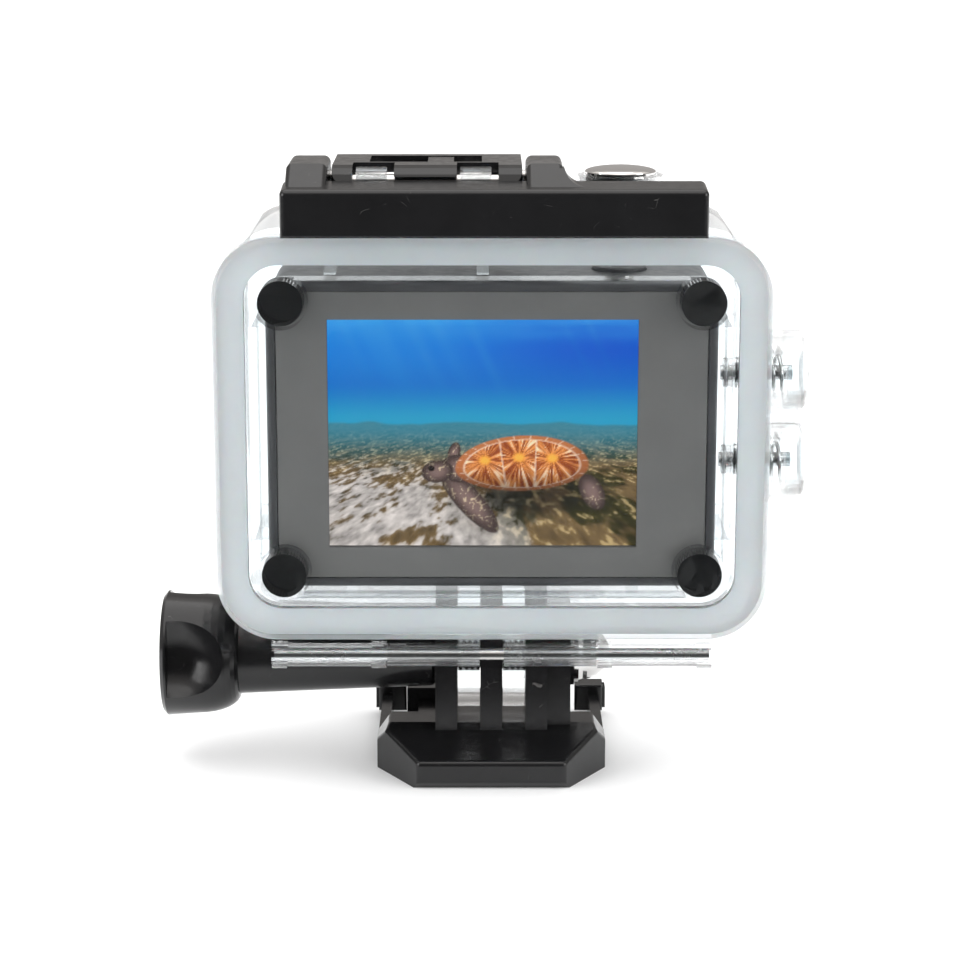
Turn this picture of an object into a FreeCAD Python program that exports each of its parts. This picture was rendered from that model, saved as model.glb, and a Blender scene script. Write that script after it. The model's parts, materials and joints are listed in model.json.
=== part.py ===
"""Action camera in a clear dive housing, on a quick-release buckle.

Millimetres, right-handed: +X to the right seen from the screen side, +Y towards the lens,
+Z up. The origin lies on the buckle's flat underside, straight below the thumb screw's
axis, in the middle plane of the three buckle fingers.
"""
import FreeCAD, Part
import math
import os

V = FreeCAD.Vector

# ---- Fits ----
turn_gap = 0.06         # radial, shaft in a bore
slide_gap = 0.1         # each side, between flat faces that slide
seal_gap = 0.05         # between the closed door and the case
rest_gap = 0.15         # between moulded pieces that lie side by side
join = 0.5              # how far joined shapes run into each other
swing_gap = 0.6         # around what swings in or out

# ---- Quick-release buckle and thumb screw ----
screw_z = 15.0          # height of the thumb screw's axis
finger_thick = 3.0      # the buckle's three fingers and the case's two prongs
finger_r = 7.5
screw_r = 2.5           # thread's outer radius
base_width = 31.6
nose_width = 20.0
nose_reach = 14.9       # from the screw axis to the nose
tail_reach = 20.5       # from the screw axis to the open end
nose_height = 3.9
base_height = 6.6
deck_height = 3.6       # tail part of the base
tab_room = 2.1          # from the tail's side to a pinch tab at rest
base_round = 0.8
shoulder_drop = 2.4     # sloped shoulders along the base's top
shoulder_in = 1.7
rail_depth = 2.6        # groove that takes the base plate's rails
rail_height = 2.0
rail_z = 1.2
arm_root = -0.8         # where the spring arms leave the base
arm_thick = 1.5
arm_low = 0.3
arm_height = 3.4
tab_height = 4.9
tab_length = 3.4
tab_inset = 3.5         # pinch tab's inner face, in from the base's side
tab_proud = 0.6
tab_low = 0.9
boss_thick = 3.2        # nut boss beyond the outer finger
boss_r = 6.2
rib_thick = 4.2         # low rib beside the other outer finger
rib_height = 8.2
rib_depth = 2.4
nut_flats = 8.0
nut_hex_length = 3.4
nut_proud = 0.6         # hexagon beyond the boss
nut_floor = 1.6         # solid end of the dome
nut_dome_length = 5.2
rod_short = 0.6         # rod's end to the bottom of the nut's bore
barrel_length = 27.1
barrel_r_wide = 5.7
barrel_r_slim = 4.6
knob_r = 8.7
knob_length = 10.5
knob_disc = 0.8         # full disc left at the knob's outer end
scoop_r = 8.0
scoop_depth = 4.0
scoop_turn = 8.0        # degrees, how far the scoops are turned up

# ---- Camera ----
camera_width = 59.3
camera_height = 41.1
camera_depth = 21.5
camera_corner_r = 3.2
camera_wall = 1.35
rear_cover_depth = 5.5
panel_border = 1.25     # rear cover's rim around the glossy panel
panel_thick = 1.0
screen_width = 40.8
screen_height = 30.6
screen_x = -1.2
screen_lift = 0.25      # screen's centre above the camera's centre
module_thick = 1.9
lens_x = -13.6
lens_lift = 2.2         # lens centre above the camera's centre
lens_ring_r = 11.0
lens_ring_length = 5.6
lens_barrel_r = 7.2
lens_glass_r = 6.0
key_r = 3.6
key_proud = 0.6
key_flange = 0.5
battery_size = (27.0, 9.5, 32.0)
battery_x = 13.0
board_thick = 1.2
cover_screw_r = 0.9

# ---- Case ----
case_wall = 2.6
case_roof = 4.4
side_room = 2.25        # from the camera's side to the cavity wall
front_room = 2.5
floor_room = 2.35
roof_room = 2.75
prong_drop = 8.4        # from the case's underside down to the screw axis
flange_back_y = -16.0   # flange's rear face, from the screw axis
flange_thick = 4.0
camera_set_in = 1.5     # camera's back, in from the flange's rear face
door_overhang = 4.3     # door's edge beyond the cavity wall, each side
door_rise = 3.6         # door's edge beyond the cavity, above and below
door_corner_r = 8.0
door_thick = 4.0
door_round = 1.3
lip_width = 1.7
lip_depth = 1.4
pane_thick = 1.6
gasket_width = 3.6
door_rim_x = 0.5        # door's side beyond the gasket
door_rim_z = 0.25       # door's edge beyond the gasket, above and below
gasket_thick = 1.2
pad_r = 2.95
pad_ring = 0.55
port_r = 15.0
port_length = 8.0
port_glass_r = 12.5
port_glass_thick = 1.5
port_ring_thick = 2.0
port_screw_r = 0.9

# ---- Door hinge ----
hinge_drop = 2.6        # hinge axis below the door's lower edge
hinge_inset = 3.0       # hinge axis in from the door's outer face
knuckle_r = 1.6
band_r = 1.85
hinge_pin_r = 0.8
hinge_reach = 29.2      # outer end of the knuckles
hinge_joint_x = 14.0    # where door and case knuckles meet
hinge_middle_x = 1.6    # inner end of the case knuckles

# ---- Latch ----
pivot_y = -11.9         # lever's pivot
pivot_rise = 5.6        # above the case's roof
crank = 5.4             # from the lever's pivot to the bar's pin
latch_pin_r = 0.9
lug_r = 1.9
lug_thick = 4.0
lug_inner = (-13.6, -4.1)   # faces between the two lugs
window_left = 0.45      # lever's window, clear of each lug's left side
window_right = 0.95
lever_x = (-20.7, 3.9)
lever_front_y = 5.0
lever_back_y = -15.0
lever_top_rise = 2.2    # lever's top above its pivot
lever_skin = 1.3
lever_round = 0.9
lock_slot = (-16.0, -1.3)
lock_x = (-8.4, -5.0)
lock_arrow = 6.4        # length of the lock's arrow
bar_x = (-27.0, 27.5)
bar_ear_left = (-26.5, -21.2)
bar_ear_right = (4.4, 9.2)
ear_round = 0.9
ear_sweep = 2.6         # concave corner between the right ear and the bar's top
bar_back_y = -21.6
bar_wall = 2.0
bar_round = 0.8
bar_hook = 0.5          # how far the bar's lower edge hangs behind the ridge
hook_gap = 0.9
hook_round = 0.9
ridge_height = 0.7
ridge_depth = 2.7
ridge_half = 26.0
lock_travel = 2.5

# ---- Push buttons: plunger through the case wall ----
stem_r = 1.0
press_travel = 1.2
key_gap = 0.65          # stem's tip above the camera's key
clip_r = 2.0
clip_thick = 0.6
seal_r = 0.5            # O-ring's section
spring_r = 2.3
spring_wire_r = 0.28
spring_pitch = 0.9      # coils are at least this far apart
guard_wall = 0.85
cap_proud = 1.2
cap_depth = 2.0
button_y = -3.0
side_button_pitch = 12.0
side_button_lift = 0.4
side_button_r = 5.0
side_guard = 7.1
shutter_x = 17.1
shutter_r = 4.9
shutter_guard = 5.5
power_x = 20.0
power_drop = 8.8        # power key below the camera's centre
power_r = 4.4
power_guard = 3.6

# ---- Places that follow from the sizes ----
finger_pitch = 2.0 * (finger_thick + slide_gap)
deck_half = base_width / 2.0 - tab_inset - tab_room    # half width of the buckle's tail
prong_x = finger_pitch / 2.0
case_bottom = screw_z + prong_drop
cavity_bottom = case_bottom + case_wall
camera_bottom = cavity_bottom + floor_room
camera_top = camera_bottom + camera_height
camera_mid_z = camera_bottom + camera_height / 2.0
cavity_top = camera_top + roof_room
case_top = cavity_top + case_roof
cavity_half = camera_width / 2.0 + side_room
case_half = cavity_half + case_wall
camera_back = flange_back_y + camera_set_in
camera_front = camera_back + camera_depth
cavity_front = camera_front + front_room
case_front = cavity_front + case_wall
door_half = cavity_half + door_overhang
door_mid_z = (cavity_bottom + cavity_top) / 2.0
door_half_h = (cavity_top - cavity_bottom) / 2.0 + door_rise
door_inner_y = flange_back_y - seal_gap
door_outer_y = flange_back_y - door_thick
door_top = door_mid_z + door_half_h
door_bottom = door_mid_z - door_half_h
lip_half = door_half - door_rim_x - gasket_width
lip_half_h = door_half_h - door_rim_z - gasket_width
lens_z = camera_mid_z + lens_lift
hinge_y = door_outer_y + hinge_inset
hinge_z = door_bottom - hinge_drop
pivot_z = case_top + pivot_rise
bar_pin_y = pivot_y + crank
bar_bottom = door_top + ridge_height - bar_hook
bar_inner_y = bar_back_y + bar_wall
ridge_back_y = bar_inner_y + hook_gap
lever_top = pivot_z + lever_top_rise
side_button_mid = camera_mid_z + side_button_lift
side_button_z = (side_button_mid - side_button_pitch / 2.0, side_button_mid + side_button_pitch / 2.0)
power_z = camera_mid_z - power_drop


# ---- Shape helpers ----
def box(x, y, z):
    """Block between the low and high values of each axis."""
    return Part.makeBox(x[1] - x[0], y[1] - y[0], z[1] - z[0], V(x[0], y[0], z[0]))


def rod_x(x, y, z, r):
    """Cylinder along X between the two x values."""
    return Part.makeCylinder(r, x[1] - x[0], V(x[0], y, z), V(1, 0, 0))


def rod_y(x, y, z, r):
    """Cylinder along Y between the two y values."""
    return Part.makeCylinder(r, y[1] - y[0], V(x, y[0], z), V(0, 1, 0))


def rod_z(x, y, z, r):
    """Cylinder along Z between the two z values."""
    return Part.makeCylinder(r, z[1] - z[0], V(x, y, z[0]), V(0, 0, 1))


def fuse(shapes):
    """One clean solid from several that touch."""
    return shapes[0].fuse(shapes[1:]).removeSplitter()


def edges_along(shape, direction):
    """Straight edges parallel to a direction."""
    found = []
    for edge in shape.Edges:
        if edge.Curve.TypeId == "Part::GeomLine":
            if edge.tangentAt(edge.FirstParameter).cross(direction).Length < 1e-6:
                found.append(edge)
    return found


def edges_in_plane(shape, axis, value):
    """Edges that lie wholly in the plane where the axis has this value."""
    found = []
    for edge in shape.Edges:
        limits = edge.BoundBox
        low = (limits.XMin, limits.YMin, limits.ZMin)[axis]
        high = (limits.XMax, limits.YMax, limits.ZMax)[axis]
        if abs(low - value) < 1e-4 and abs(high - value) < 1e-4:
            found.append(edge)
    return found


def plate(half_x, z, corner_r, y, mid_x=0.0):
    """Rounded rectangle across X and Z, carried along Y."""
    block = box((mid_x - half_x, mid_x + half_x), y, z)
    return block.makeFillet(corner_r, edges_along(block, V(0, 1, 0)))


def prism_x(outline, x):
    """Polygon of (y, z) points, carried along X."""
    points = [V(x[0], y, z) for y, z in outline]
    face = Part.Face(Part.makePolygon(points + [points[0]]))
    return face.extrude(V(x[1] - x[0], 0, 0))


def prism_z(outline, z):
    """Polygon of (x, y) points, carried along Z."""
    points = [V(x, y, z[0]) for x, y in outline]
    face = Part.Face(Part.makePolygon(points + [points[0]]))
    return face.extrude(V(0, 0, z[1] - z[0]))


def prism_y(outline, y):
    """Polygon of (x, z) points, carried along Y."""
    points = [V(x, y[0], z) for x, z in outline]
    face = Part.Face(Part.makePolygon(points + [points[0]]))
    return face.extrude(V(0, y[1] - y[0], 0))


def turned(profile, centre, axis):
    """Solid of revolution from (radius, height) points, set on a centre and an axis."""
    points = [V(r, 0, h) for r, h in profile]
    face = Part.Face(Part.makePolygon(points + [points[0]]))
    solid = face.revolve(V(0, 0, 0), V(0, 0, 1), 360)
    return placed(solid, centre, axis)


def placed(solid, centre, axis):
    """Copy of a solid built up along +Z, moved so that +Z points along the axis."""
    moved = solid.copy()
    turn = FreeCAD.Rotation(V(0, 0, 1), axis)
    moved.Placement = FreeCAD.Placement(centre, turn).multiply(solid.Placement)
    return moved


def hex_rod_x(x, y, z, across_flats):
    """Hexagonal bar along X, with two flats level."""
    corner = across_flats / math.sqrt(3.0)
    turns = [math.radians(60.0 * i) for i in range(6)]
    return prism_x([(y + corner * math.cos(a), z + corner * math.sin(a)) for a in turns], x)


# ---- Quick-release buckle ----
def buckle_base():
    """Wedge-nosed base with side grooves, and a narrower tail between the spring arms."""
    half = base_width / 2.0
    nose = nose_width / 2.0
    shoulder_y = -nose_reach + (half - nose) * 1.64
    plan = [(-nose, -nose_reach), (nose, -nose_reach), (half, shoulder_y), (half, arm_root),
            (-half, arm_root), (-half, shoulder_y)]
    side = [(-nose_reach + 1.0, 0), (-nose_reach, 1.0), (-nose_reach, nose_height),
            (-finger_r, base_height - 0.5), (-finger_r + 2.0, base_height),
            (arm_root + 0.1, base_height), (arm_root + 0.1, 0)]
    section = [(-half, 0), (-half, base_height - shoulder_drop), (shoulder_in - half, base_height),
               (half - shoulder_in, base_height), (half, base_height - shoulder_drop), (half, 0)]
    body = prism_z(plan, (0, base_height)).common(prism_x(side, (-half, half)))
    body = body.common(prism_y(section, (-nose_reach, arm_root)))
    upper = [e for e in body.Edges if e.BoundBox.ZMin > 0.9 and e.BoundBox.YMax < arm_root]
    body = body.makeFillet(base_round, upper)
    middle = box((-deck_half, deck_half), (arm_root - 0.5, finger_r + 1.0), (0, base_height))
    tail = box((-deck_half, deck_half), (finger_r, tail_reach), (0, deck_height))
    tail_edges = edges_in_plane(tail, 1, tail_reach) + edges_in_plane(tail, 2, deck_height)
    tail = tail.makeFillet(base_round, tail_edges)
    body = fuse([body, middle, tail])
    for sign in (-1, 1):
        lane = sorted((sign * (half - rail_depth), sign * (half + 1.0)))
        body = body.cut(box(lane, (shoulder_y, tail_reach + 1.0), (rail_z, rail_z + rail_height)))
    return body


def buckle():
    """Base with three fingers, the nut boss and the low rib, all bored for the screw."""
    parts = [buckle_base()]
    for i in (-1, 0, 1):
        x = (i * finger_pitch - finger_thick / 2.0, i * finger_pitch + finger_thick / 2.0)
        parts.append(rod_x(x, 0, screw_z, finger_r))
        parts.append(box(x, (-finger_r, finger_r), (base_height / 2.0, screw_z)))
    edge = finger_pitch + finger_thick / 2.0
    boss_x = (edge - join, edge + boss_thick)
    parts.append(rod_x(boss_x, 0, screw_z, boss_r))
    parts.append(box(boss_x, (-boss_r, boss_r), (base_height / 2.0, screw_z)))
    parts.append(box((-edge - rib_thick, -edge + join), (finger_r - rib_depth, finger_r + 1.0),
                     (deck_height / 2.0, rib_height)))
    body = fuse(parts)
    for sign in (-1, 1):
        x = (sign * prong_x - finger_pitch / 2.0 + finger_thick / 2.0,
             sign * prong_x + finger_pitch / 2.0 - finger_thick / 2.0)
        body = body.cut(rod_x(x, 0, screw_z, finger_r + rest_gap))
    body = body.cut(rod_x((-base_width, base_width), 0, screw_z, screw_r + turn_gap))
    pocket = (nut_start(), edge + boss_thick + 1.0)
    return body.cut(hex_rod_x(pocket, 0, screw_z, nut_flats + 2.0 * turn_gap))


def nut_start():
    """Inner end of the nut's hexagon, sunk in the boss."""
    return finger_pitch + finger_thick / 2.0 + boss_thick - nut_hex_length + nut_proud


def arm_hinge(sign):
    """X and y of the upright axis in an arm's rounded root, about which it bends."""
    return sign * (base_width - arm_thick) / 2.0, arm_root + rest_gap + arm_thick / 2.0


def buckle_arm(sign):
    """Spring arm beside the tail, with a ribbed pinch tab at its open end."""
    outer = base_width / 2.0
    root_x, root_y = arm_hinge(sign)
    x_arm = sorted((sign * (outer - arm_thick), sign * outer))
    parts = [rod_z(root_x, root_y, (arm_low, arm_height), arm_thick / 2.0),
             box(x_arm, (root_y, tail_reach), (arm_low, arm_height))]
    x_tab = sorted((sign * (outer - tab_inset), sign * (outer + tab_proud)))
    tab = box(x_tab, (tail_reach - tab_length, tail_reach), (tab_low, tab_height))
    parts.append(tab.makeFillet(0.4, edges_along(tab, V(1, 0, 0)) + edges_along(tab, V(0, 0, 1))))
    for i in range(3):
        y = tail_reach - tab_length + 0.5 + i
        x_rib = sorted((sign * outer, sign * (outer + tab_proud + 0.4)))
        parts.append(box(x_rib, (y, y + 0.45), (tab_low + 0.4, tab_height - 0.5)))
    return fuse(parts)


def clamp_nut():
    """Chrome acorn nut, its hexagon held in the boss."""
    start = nut_start()
    hexagon = hex_rod_x((start, start + nut_hex_length), 0, screw_z, nut_flats)
    collar_r = nut_flats / 2.0 + 0.1
    collar = 0.6
    profile = [(0, 0), (collar_r, 0), (collar_r, collar)]
    for i in range(1, 12):
        turn = math.radians(90.0 * i / 12.0)
        profile.append((collar_r * 0.93 * math.cos(turn),
                        collar + (nut_dome_length - collar) * math.sin(turn)))
    profile.append((0, nut_dome_length))
    dome = turned(profile, V(start + nut_hex_length, 0, screw_z), V(1, 0, 0))
    bore = (start - 1.0, start + nut_hex_length + nut_dome_length - nut_floor)
    return hexagon.fuse(dome).removeSplitter().cut(rod_x(bore, 0, screw_z, screw_r + turn_gap))


def screw_pieces():
    """Steel threaded rod and the black knob with its long barrel."""
    shoulder = -(finger_pitch + finger_thick / 2.0 + slide_gap)
    rod_end = nut_start() + nut_hex_length + nut_dome_length - nut_floor - rod_short
    rod_start = shoulder - barrel_length * 0.7
    rod = rod_x((rod_start, rod_end), 0, screw_z, screw_r)
    rod = rod.makeChamfer(0.5, edges_in_plane(rod, 0, rod_end))
    end = barrel_length + knob_length
    bell = knob_length * 0.55
    profile = [(0, 0), (barrel_r_slim - 0.4, 0), (barrel_r_slim, 0.4), (barrel_r_wide, barrel_length)]
    for i in range(1, 9):
        turn = math.radians(90.0 * i / 8.0)
        profile.append((barrel_r_wide + (knob_r - 0.3 - barrel_r_wide) * math.sin(turn),
                        barrel_length + bell * (1.0 - math.cos(turn))))
    profile += [(knob_r, end - 0.5), (knob_r - 0.5, end), (0, end)]
    knob = turned(profile, V(shoulder, 0, screw_z), V(-1, 0, 0))
    disc_x = shoulder - end + knob_disc
    keep = box((disc_x, shoulder), (-2.0 * knob_r, 2.0 * knob_r),
               (screw_z - 2.0 * knob_r, screw_z + 2.0 * knob_r))
    away = knob_r + scoop_r - scoop_depth
    for i in range(3):
        turn = math.radians(120.0 * i - 90.0 + scoop_turn)
        centre = V(disc_x + scoop_r * 0.2, away * math.sin(turn), screw_z + away * math.cos(turn))
        knob = knob.cut(Part.makeSphere(scoop_r, centre).common(keep))
    return rod, knob.cut(rod_x((rod_start, shoulder + 1.0), 0, screw_z, screw_r))


# ---- Push buttons ----
def plunger_set(guard_r, guard_height, wall, room):
    """Cap, stem, spring, O-ring and clip, built up along +Z from the wall's outer face."""
    cap_r = guard_r - rest_gap
    cap_low = guard_height - cap_depth
    cap_high = guard_height + cap_proud
    rim_h = cap_depth + cap_proud * 0.35
    profile = [(0, cap_low), (cap_r, cap_low), (cap_r, cap_low + rim_h)]
    for i in range(1, 12):
        turn = math.radians(90.0 * i / 12.0)
        profile.append((cap_r * math.cos(turn),
                        cap_low + rim_h + (cap_high - cap_low - rim_h) * math.sin(turn)))
    profile.append((0, cap_high))
    cap = turned(profile, V(0, 0, 0), V(0, 0, 1))
    tip = -(wall + room - key_proud - key_gap)
    stem = Part.makeCylinder(stem_r, cap_low + cap_depth / 2.0 - tip, V(0, 0, tip))
    clip_high = -wall - seal_gap
    groove_r = stem_r - 0.35
    neck = Part.makeCylinder(stem_r + 0.1, clip_thick, V(0, 0, clip_high - clip_thick))
    stem = stem.cut(neck.cut(Part.makeCylinder(groove_r, clip_thick, V(0, 0, clip_high - clip_thick))))
    clip = Part.makeCylinder(clip_r, clip_thick, V(0, 0, clip_high - clip_thick))
    clip = clip.cut(Part.makeCylinder(groove_r, clip_thick, V(0, 0, clip_high - clip_thick)))
    mouth = Part.makeBox(groove_r * 1.7, clip_r * 2.0, clip_thick,
                         V(-groove_r * 0.85, 0, clip_high - clip_thick))
    clip = clip.cut(mouth)
    seal_major = stem_r + seal_gap + seal_r
    seal = Part.makeTorus(seal_major, seal_r, V(0, 0, -wall / 2.0), V(0, 0, 1))
    low = spring_wire_r + 0.05
    high = cap_low - spring_wire_r - 0.05
    turns = max(1, int((high - low) / spring_pitch))
    helix = Part.makeHelix((high - low) / turns, high - low, spring_r)
    section = Part.Wire([Part.makeCircle(spring_wire_r, V(spring_r, 0, 0), V(0, 1, 0))])
    spring = Part.Wire(helix.Edges).makePipeShell([section], True, True)
    spring.translate(V(0, 0, low))
    return {"cap": cap.cut(stem), "stem": stem, "spring": spring, "seal": seal, "clip": clip}


def wall_bore(wall):
    """What one plunger takes out of the case wall: the stem's bore and the O-ring's groove."""
    bore = Part.makeCylinder(stem_r + turn_gap, wall + 2.0, V(0, 0, -wall - 1.0))
    groove_r = stem_r + seal_gap + 2.0 * seal_r + 0.05
    groove = Part.makeCylinder(groove_r, 2.0 * seal_r + 0.1, V(0, 0, -wall / 2.0 - seal_r - 0.05))
    return bore.fuse(groove)


def buttons():
    """Each push button: its name, where its wall is, its axis, radius, guard, wall and room."""
    return [
        ("shutter", V(shutter_x, button_y, case_top), V(0, 0, 1), shutter_r, shutter_guard,
         case_roof, roof_room),
        ("down", V(case_half, button_y, side_button_z[0]), V(1, 0, 0), side_button_r, side_guard,
         case_wall, side_room),
        ("up", V(case_half, button_y, side_button_z[1]), V(1, 0, 0), side_button_r, side_guard,
         case_wall, side_room),
        ("power", V(power_x, case_front, power_z), V(0, 1, 0), power_r, power_guard,
         case_wall, front_room),
    ]


# ---- Clear case ----
def case_walls():
    """Hollow body with its rear flange, open at the back."""
    outer = plate(case_half, (case_bottom, case_top), door_corner_r - 1.0, (flange_back_y + 1.0, case_front))
    outer = outer.makeFillet(2.2, edges_in_plane(outer, 1, case_front))
    flange = plate(door_half, (door_bottom, door_top), door_corner_r,
                   (flange_back_y, flange_back_y + flange_thick))
    flange = flange.makeFillet(0.8, edges_in_plane(flange, 1, flange_back_y + flange_thick))
    hollow = plate(cavity_half, (cavity_bottom, cavity_top), camera_corner_r + 1.5,
                   (flange_back_y - 1.0, cavity_front))
    mouth = plate(lip_half + swing_gap,
                  (door_mid_z - lip_half_h - swing_gap, door_mid_z + lip_half_h + swing_gap),
                  camera_corner_r + 1.8, (flange_back_y - 1.0, flange_back_y + lip_depth + swing_gap))
    return fuse([outer, flange]).cut(hollow).cut(mouth)


def case_ribs():
    """Ribs that hold the camera off the cavity walls."""
    y = (camera_back + 5.0, camera_front - 2.0)
    ribs = []
    half = camera_width / 2.0 + rest_gap
    for z in (camera_mid_z - 14.5, camera_mid_z + 14.5):
        ribs.append(box((half, cavity_half + 0.5), y, (z - 0.8, z + 0.8)))
        ribs.append(box((-cavity_half - 0.5, -half), y, (z - 0.8, z + 0.8)))
    for x in (-camera_width * 0.36, -camera_width * 0.02):
        ribs.append(box((x - 0.8, x + 0.8), y, (camera_top + rest_gap, cavity_top + 0.5)))
    for x in (-camera_width * 0.32, camera_width * 0.32):
        ribs.append(box((x - 0.8, x + 0.8), y, (cavity_bottom - 0.5, camera_bottom - rest_gap)))
    return ribs


def latch_lug(x):
    """Upright on the roof that carries the lever's pivot pin."""
    post = box(x, (pivot_y - lug_r, pivot_y + lug_r), (case_top - 0.5, pivot_z))
    return post.fuse(rod_x(x, pivot_y, pivot_z, lug_r))


def lock_catch():
    """Arm in front of the second lug, with the pocket that takes the lock's tongue."""
    x = (lug_inner[1], lug_inner[1] + lug_thick)
    return box(x, (pivot_y, bar_pin_y + 3.4), (case_top - join, case_top + 3.9))


def tongue_limits():
    """The lock tongue's y and z limits, and how far it stands from the catch at rest."""
    return (bar_pin_y + 0.4, bar_pin_y + 2.4), (case_top + 1.6, case_top + 2.8), 0.4


def case_shell():
    """Clear case with its prongs, hinge knuckles, latch lugs, button guards and lens port."""
    parts = [case_walls()] + case_ribs()
    for sign in (-1, 1):
        x = (sign * prong_x - finger_thick / 2.0, sign * prong_x + finger_thick / 2.0)
        parts.append(rod_x(x, 0, screw_z, finger_r))
        parts.append(box(x, (-finger_r, finger_r), (screw_z, case_bottom + 0.5)))
        inner, outer = sorted((sign * hinge_middle_x, sign * (hinge_joint_x - slide_gap)))
        parts.append(rod_x((inner, outer), hinge_y, hinge_z, knuckle_r))
        parts.append(box((inner, outer), (hinge_y, flange_back_y + 3.0),
                         (hinge_z - 0.4, door_bottom - rest_gap)))
        parts.append(box((inner, outer), (flange_back_y, flange_back_y + 3.0),
                         (hinge_z, door_bottom + 1.0)))
    left_lug = (lug_inner[0] - lug_thick, lug_inner[0])
    right_lug = (lug_inner[1], lug_inner[1] + lug_thick)
    parts += [latch_lug(left_lug), latch_lug(right_lug), lock_catch()]
    parts.append(rod_y(lens_x, (case_front - 1.0, case_front + port_length), lens_z, port_r))
    for name, foot, axis, radius, guard, wall, room in buttons():
        parts.append(placed(Part.makeCylinder(radius + guard_wall, guard + join, V(0, 0, -join)), foot, axis))
    bridge_mid = (side_button_z[0] + side_button_z[1]) / 2.0
    parts.append(box((case_half - join, case_half + side_guard), (button_y - 2.4, button_y + 2.4),
                     (bridge_mid - 2.0, bridge_mid + 2.0)))
    body = fuse(parts)
    for name, foot, axis, radius, guard, wall, room in buttons():
        body = body.cut(placed(Part.makeCylinder(radius, guard + 1.0), foot, axis))
        body = body.cut(placed(wall_bore(wall), foot, axis))
    body = body.cut(rod_x((-base_width, base_width), 0, screw_z, screw_r + turn_gap))
    body = body.cut(rod_x((-hinge_joint_x, hinge_joint_x), hinge_y, hinge_z, hinge_pin_r))
    body = body.cut(rod_x((left_lug[0] - 1.0, right_lug[1] + 1.0), pivot_y, pivot_z, latch_pin_r))
    tongue_y, tongue_z, stand_off = tongue_limits()
    pocket = box((lug_inner[1] - 1.0, lug_inner[1] + lock_travel),
                 (tongue_y[0] - 2 * slide_gap, tongue_y[1] + 2 * slide_gap),
                 (tongue_z[0] - 2 * slide_gap, tongue_z[1] + 2 * slide_gap))
    body = body.cut(pocket)
    port_end = case_front + port_length
    seat_y = port_end - port_ring_thick - port_glass_thick
    body = body.cut(rod_y(lens_x, (cavity_front - 1.0, port_end + 1.0), lens_z, port_glass_r - 1.0))
    body = body.cut(rod_y(lens_x, (seat_y - 0.5, port_end + 1.0), lens_z, port_glass_r + rest_gap))
    return body.cut(rod_y(lens_x, (port_end - port_ring_thick, port_end + 1.0), lens_z, port_r - 0.9))


def port_pieces():
    """Lens port: gasket, glass, retaining ring and its four screws."""
    port_end = case_front + port_length
    ring_y = (port_end - port_ring_thick, port_end + 0.3)
    glass_y = (ring_y[0] - port_glass_thick, ring_y[0])
    gasket = rod_y(lens_x, (glass_y[0] - 0.5, glass_y[0]), lens_z, port_glass_r)
    gasket = gasket.cut(rod_y(lens_x, (glass_y[0] - 1.0, glass_y[0] + 1.0), lens_z, port_glass_r - 1.0))
    glass = rod_y(lens_x, glass_y, lens_z, port_glass_r)
    ring = rod_y(lens_x, ring_y, lens_z, port_r - 0.9 - slide_gap)
    ring = ring.makeFillet(0.5, edges_in_plane(ring, 1, ring_y[1]))
    ring = ring.cut(rod_y(lens_x, (ring_y[0] - 1.0, ring_y[1] + 1.0), lens_z, port_glass_r - 1.4))
    screws = []
    for i in range(4):
        turn = math.radians(45.0 + 90.0 * i)
        reach = (port_glass_r - 1.4 + port_r - 1.0) / 2.0
        x = lens_x + reach * math.cos(turn)
        z = lens_z + reach * math.sin(turn)
        ring = ring.cut(rod_y(x, (ring_y[1] - 1.0, ring_y[1] + 1.0), z, port_screw_r))
        screw = rod_y(x, (ring_y[1] - 1.0, ring_y[1] - 0.1), z, port_screw_r)
        slot = 0.22
        screw = screw.cut(box((x - 2.0, x + 2.0), (ring_y[1] - 0.5, ring_y[1] + 1.0), (z - slot, z + slot)))
        screw = screw.cut(box((x - slot, x + slot), (ring_y[1] - 0.5, ring_y[1] + 1.0), (z - 2.0, z + 2.0)))
        screws.append(screw)
    return gasket, glass, ring, Part.makeCompound(screws)


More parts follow.
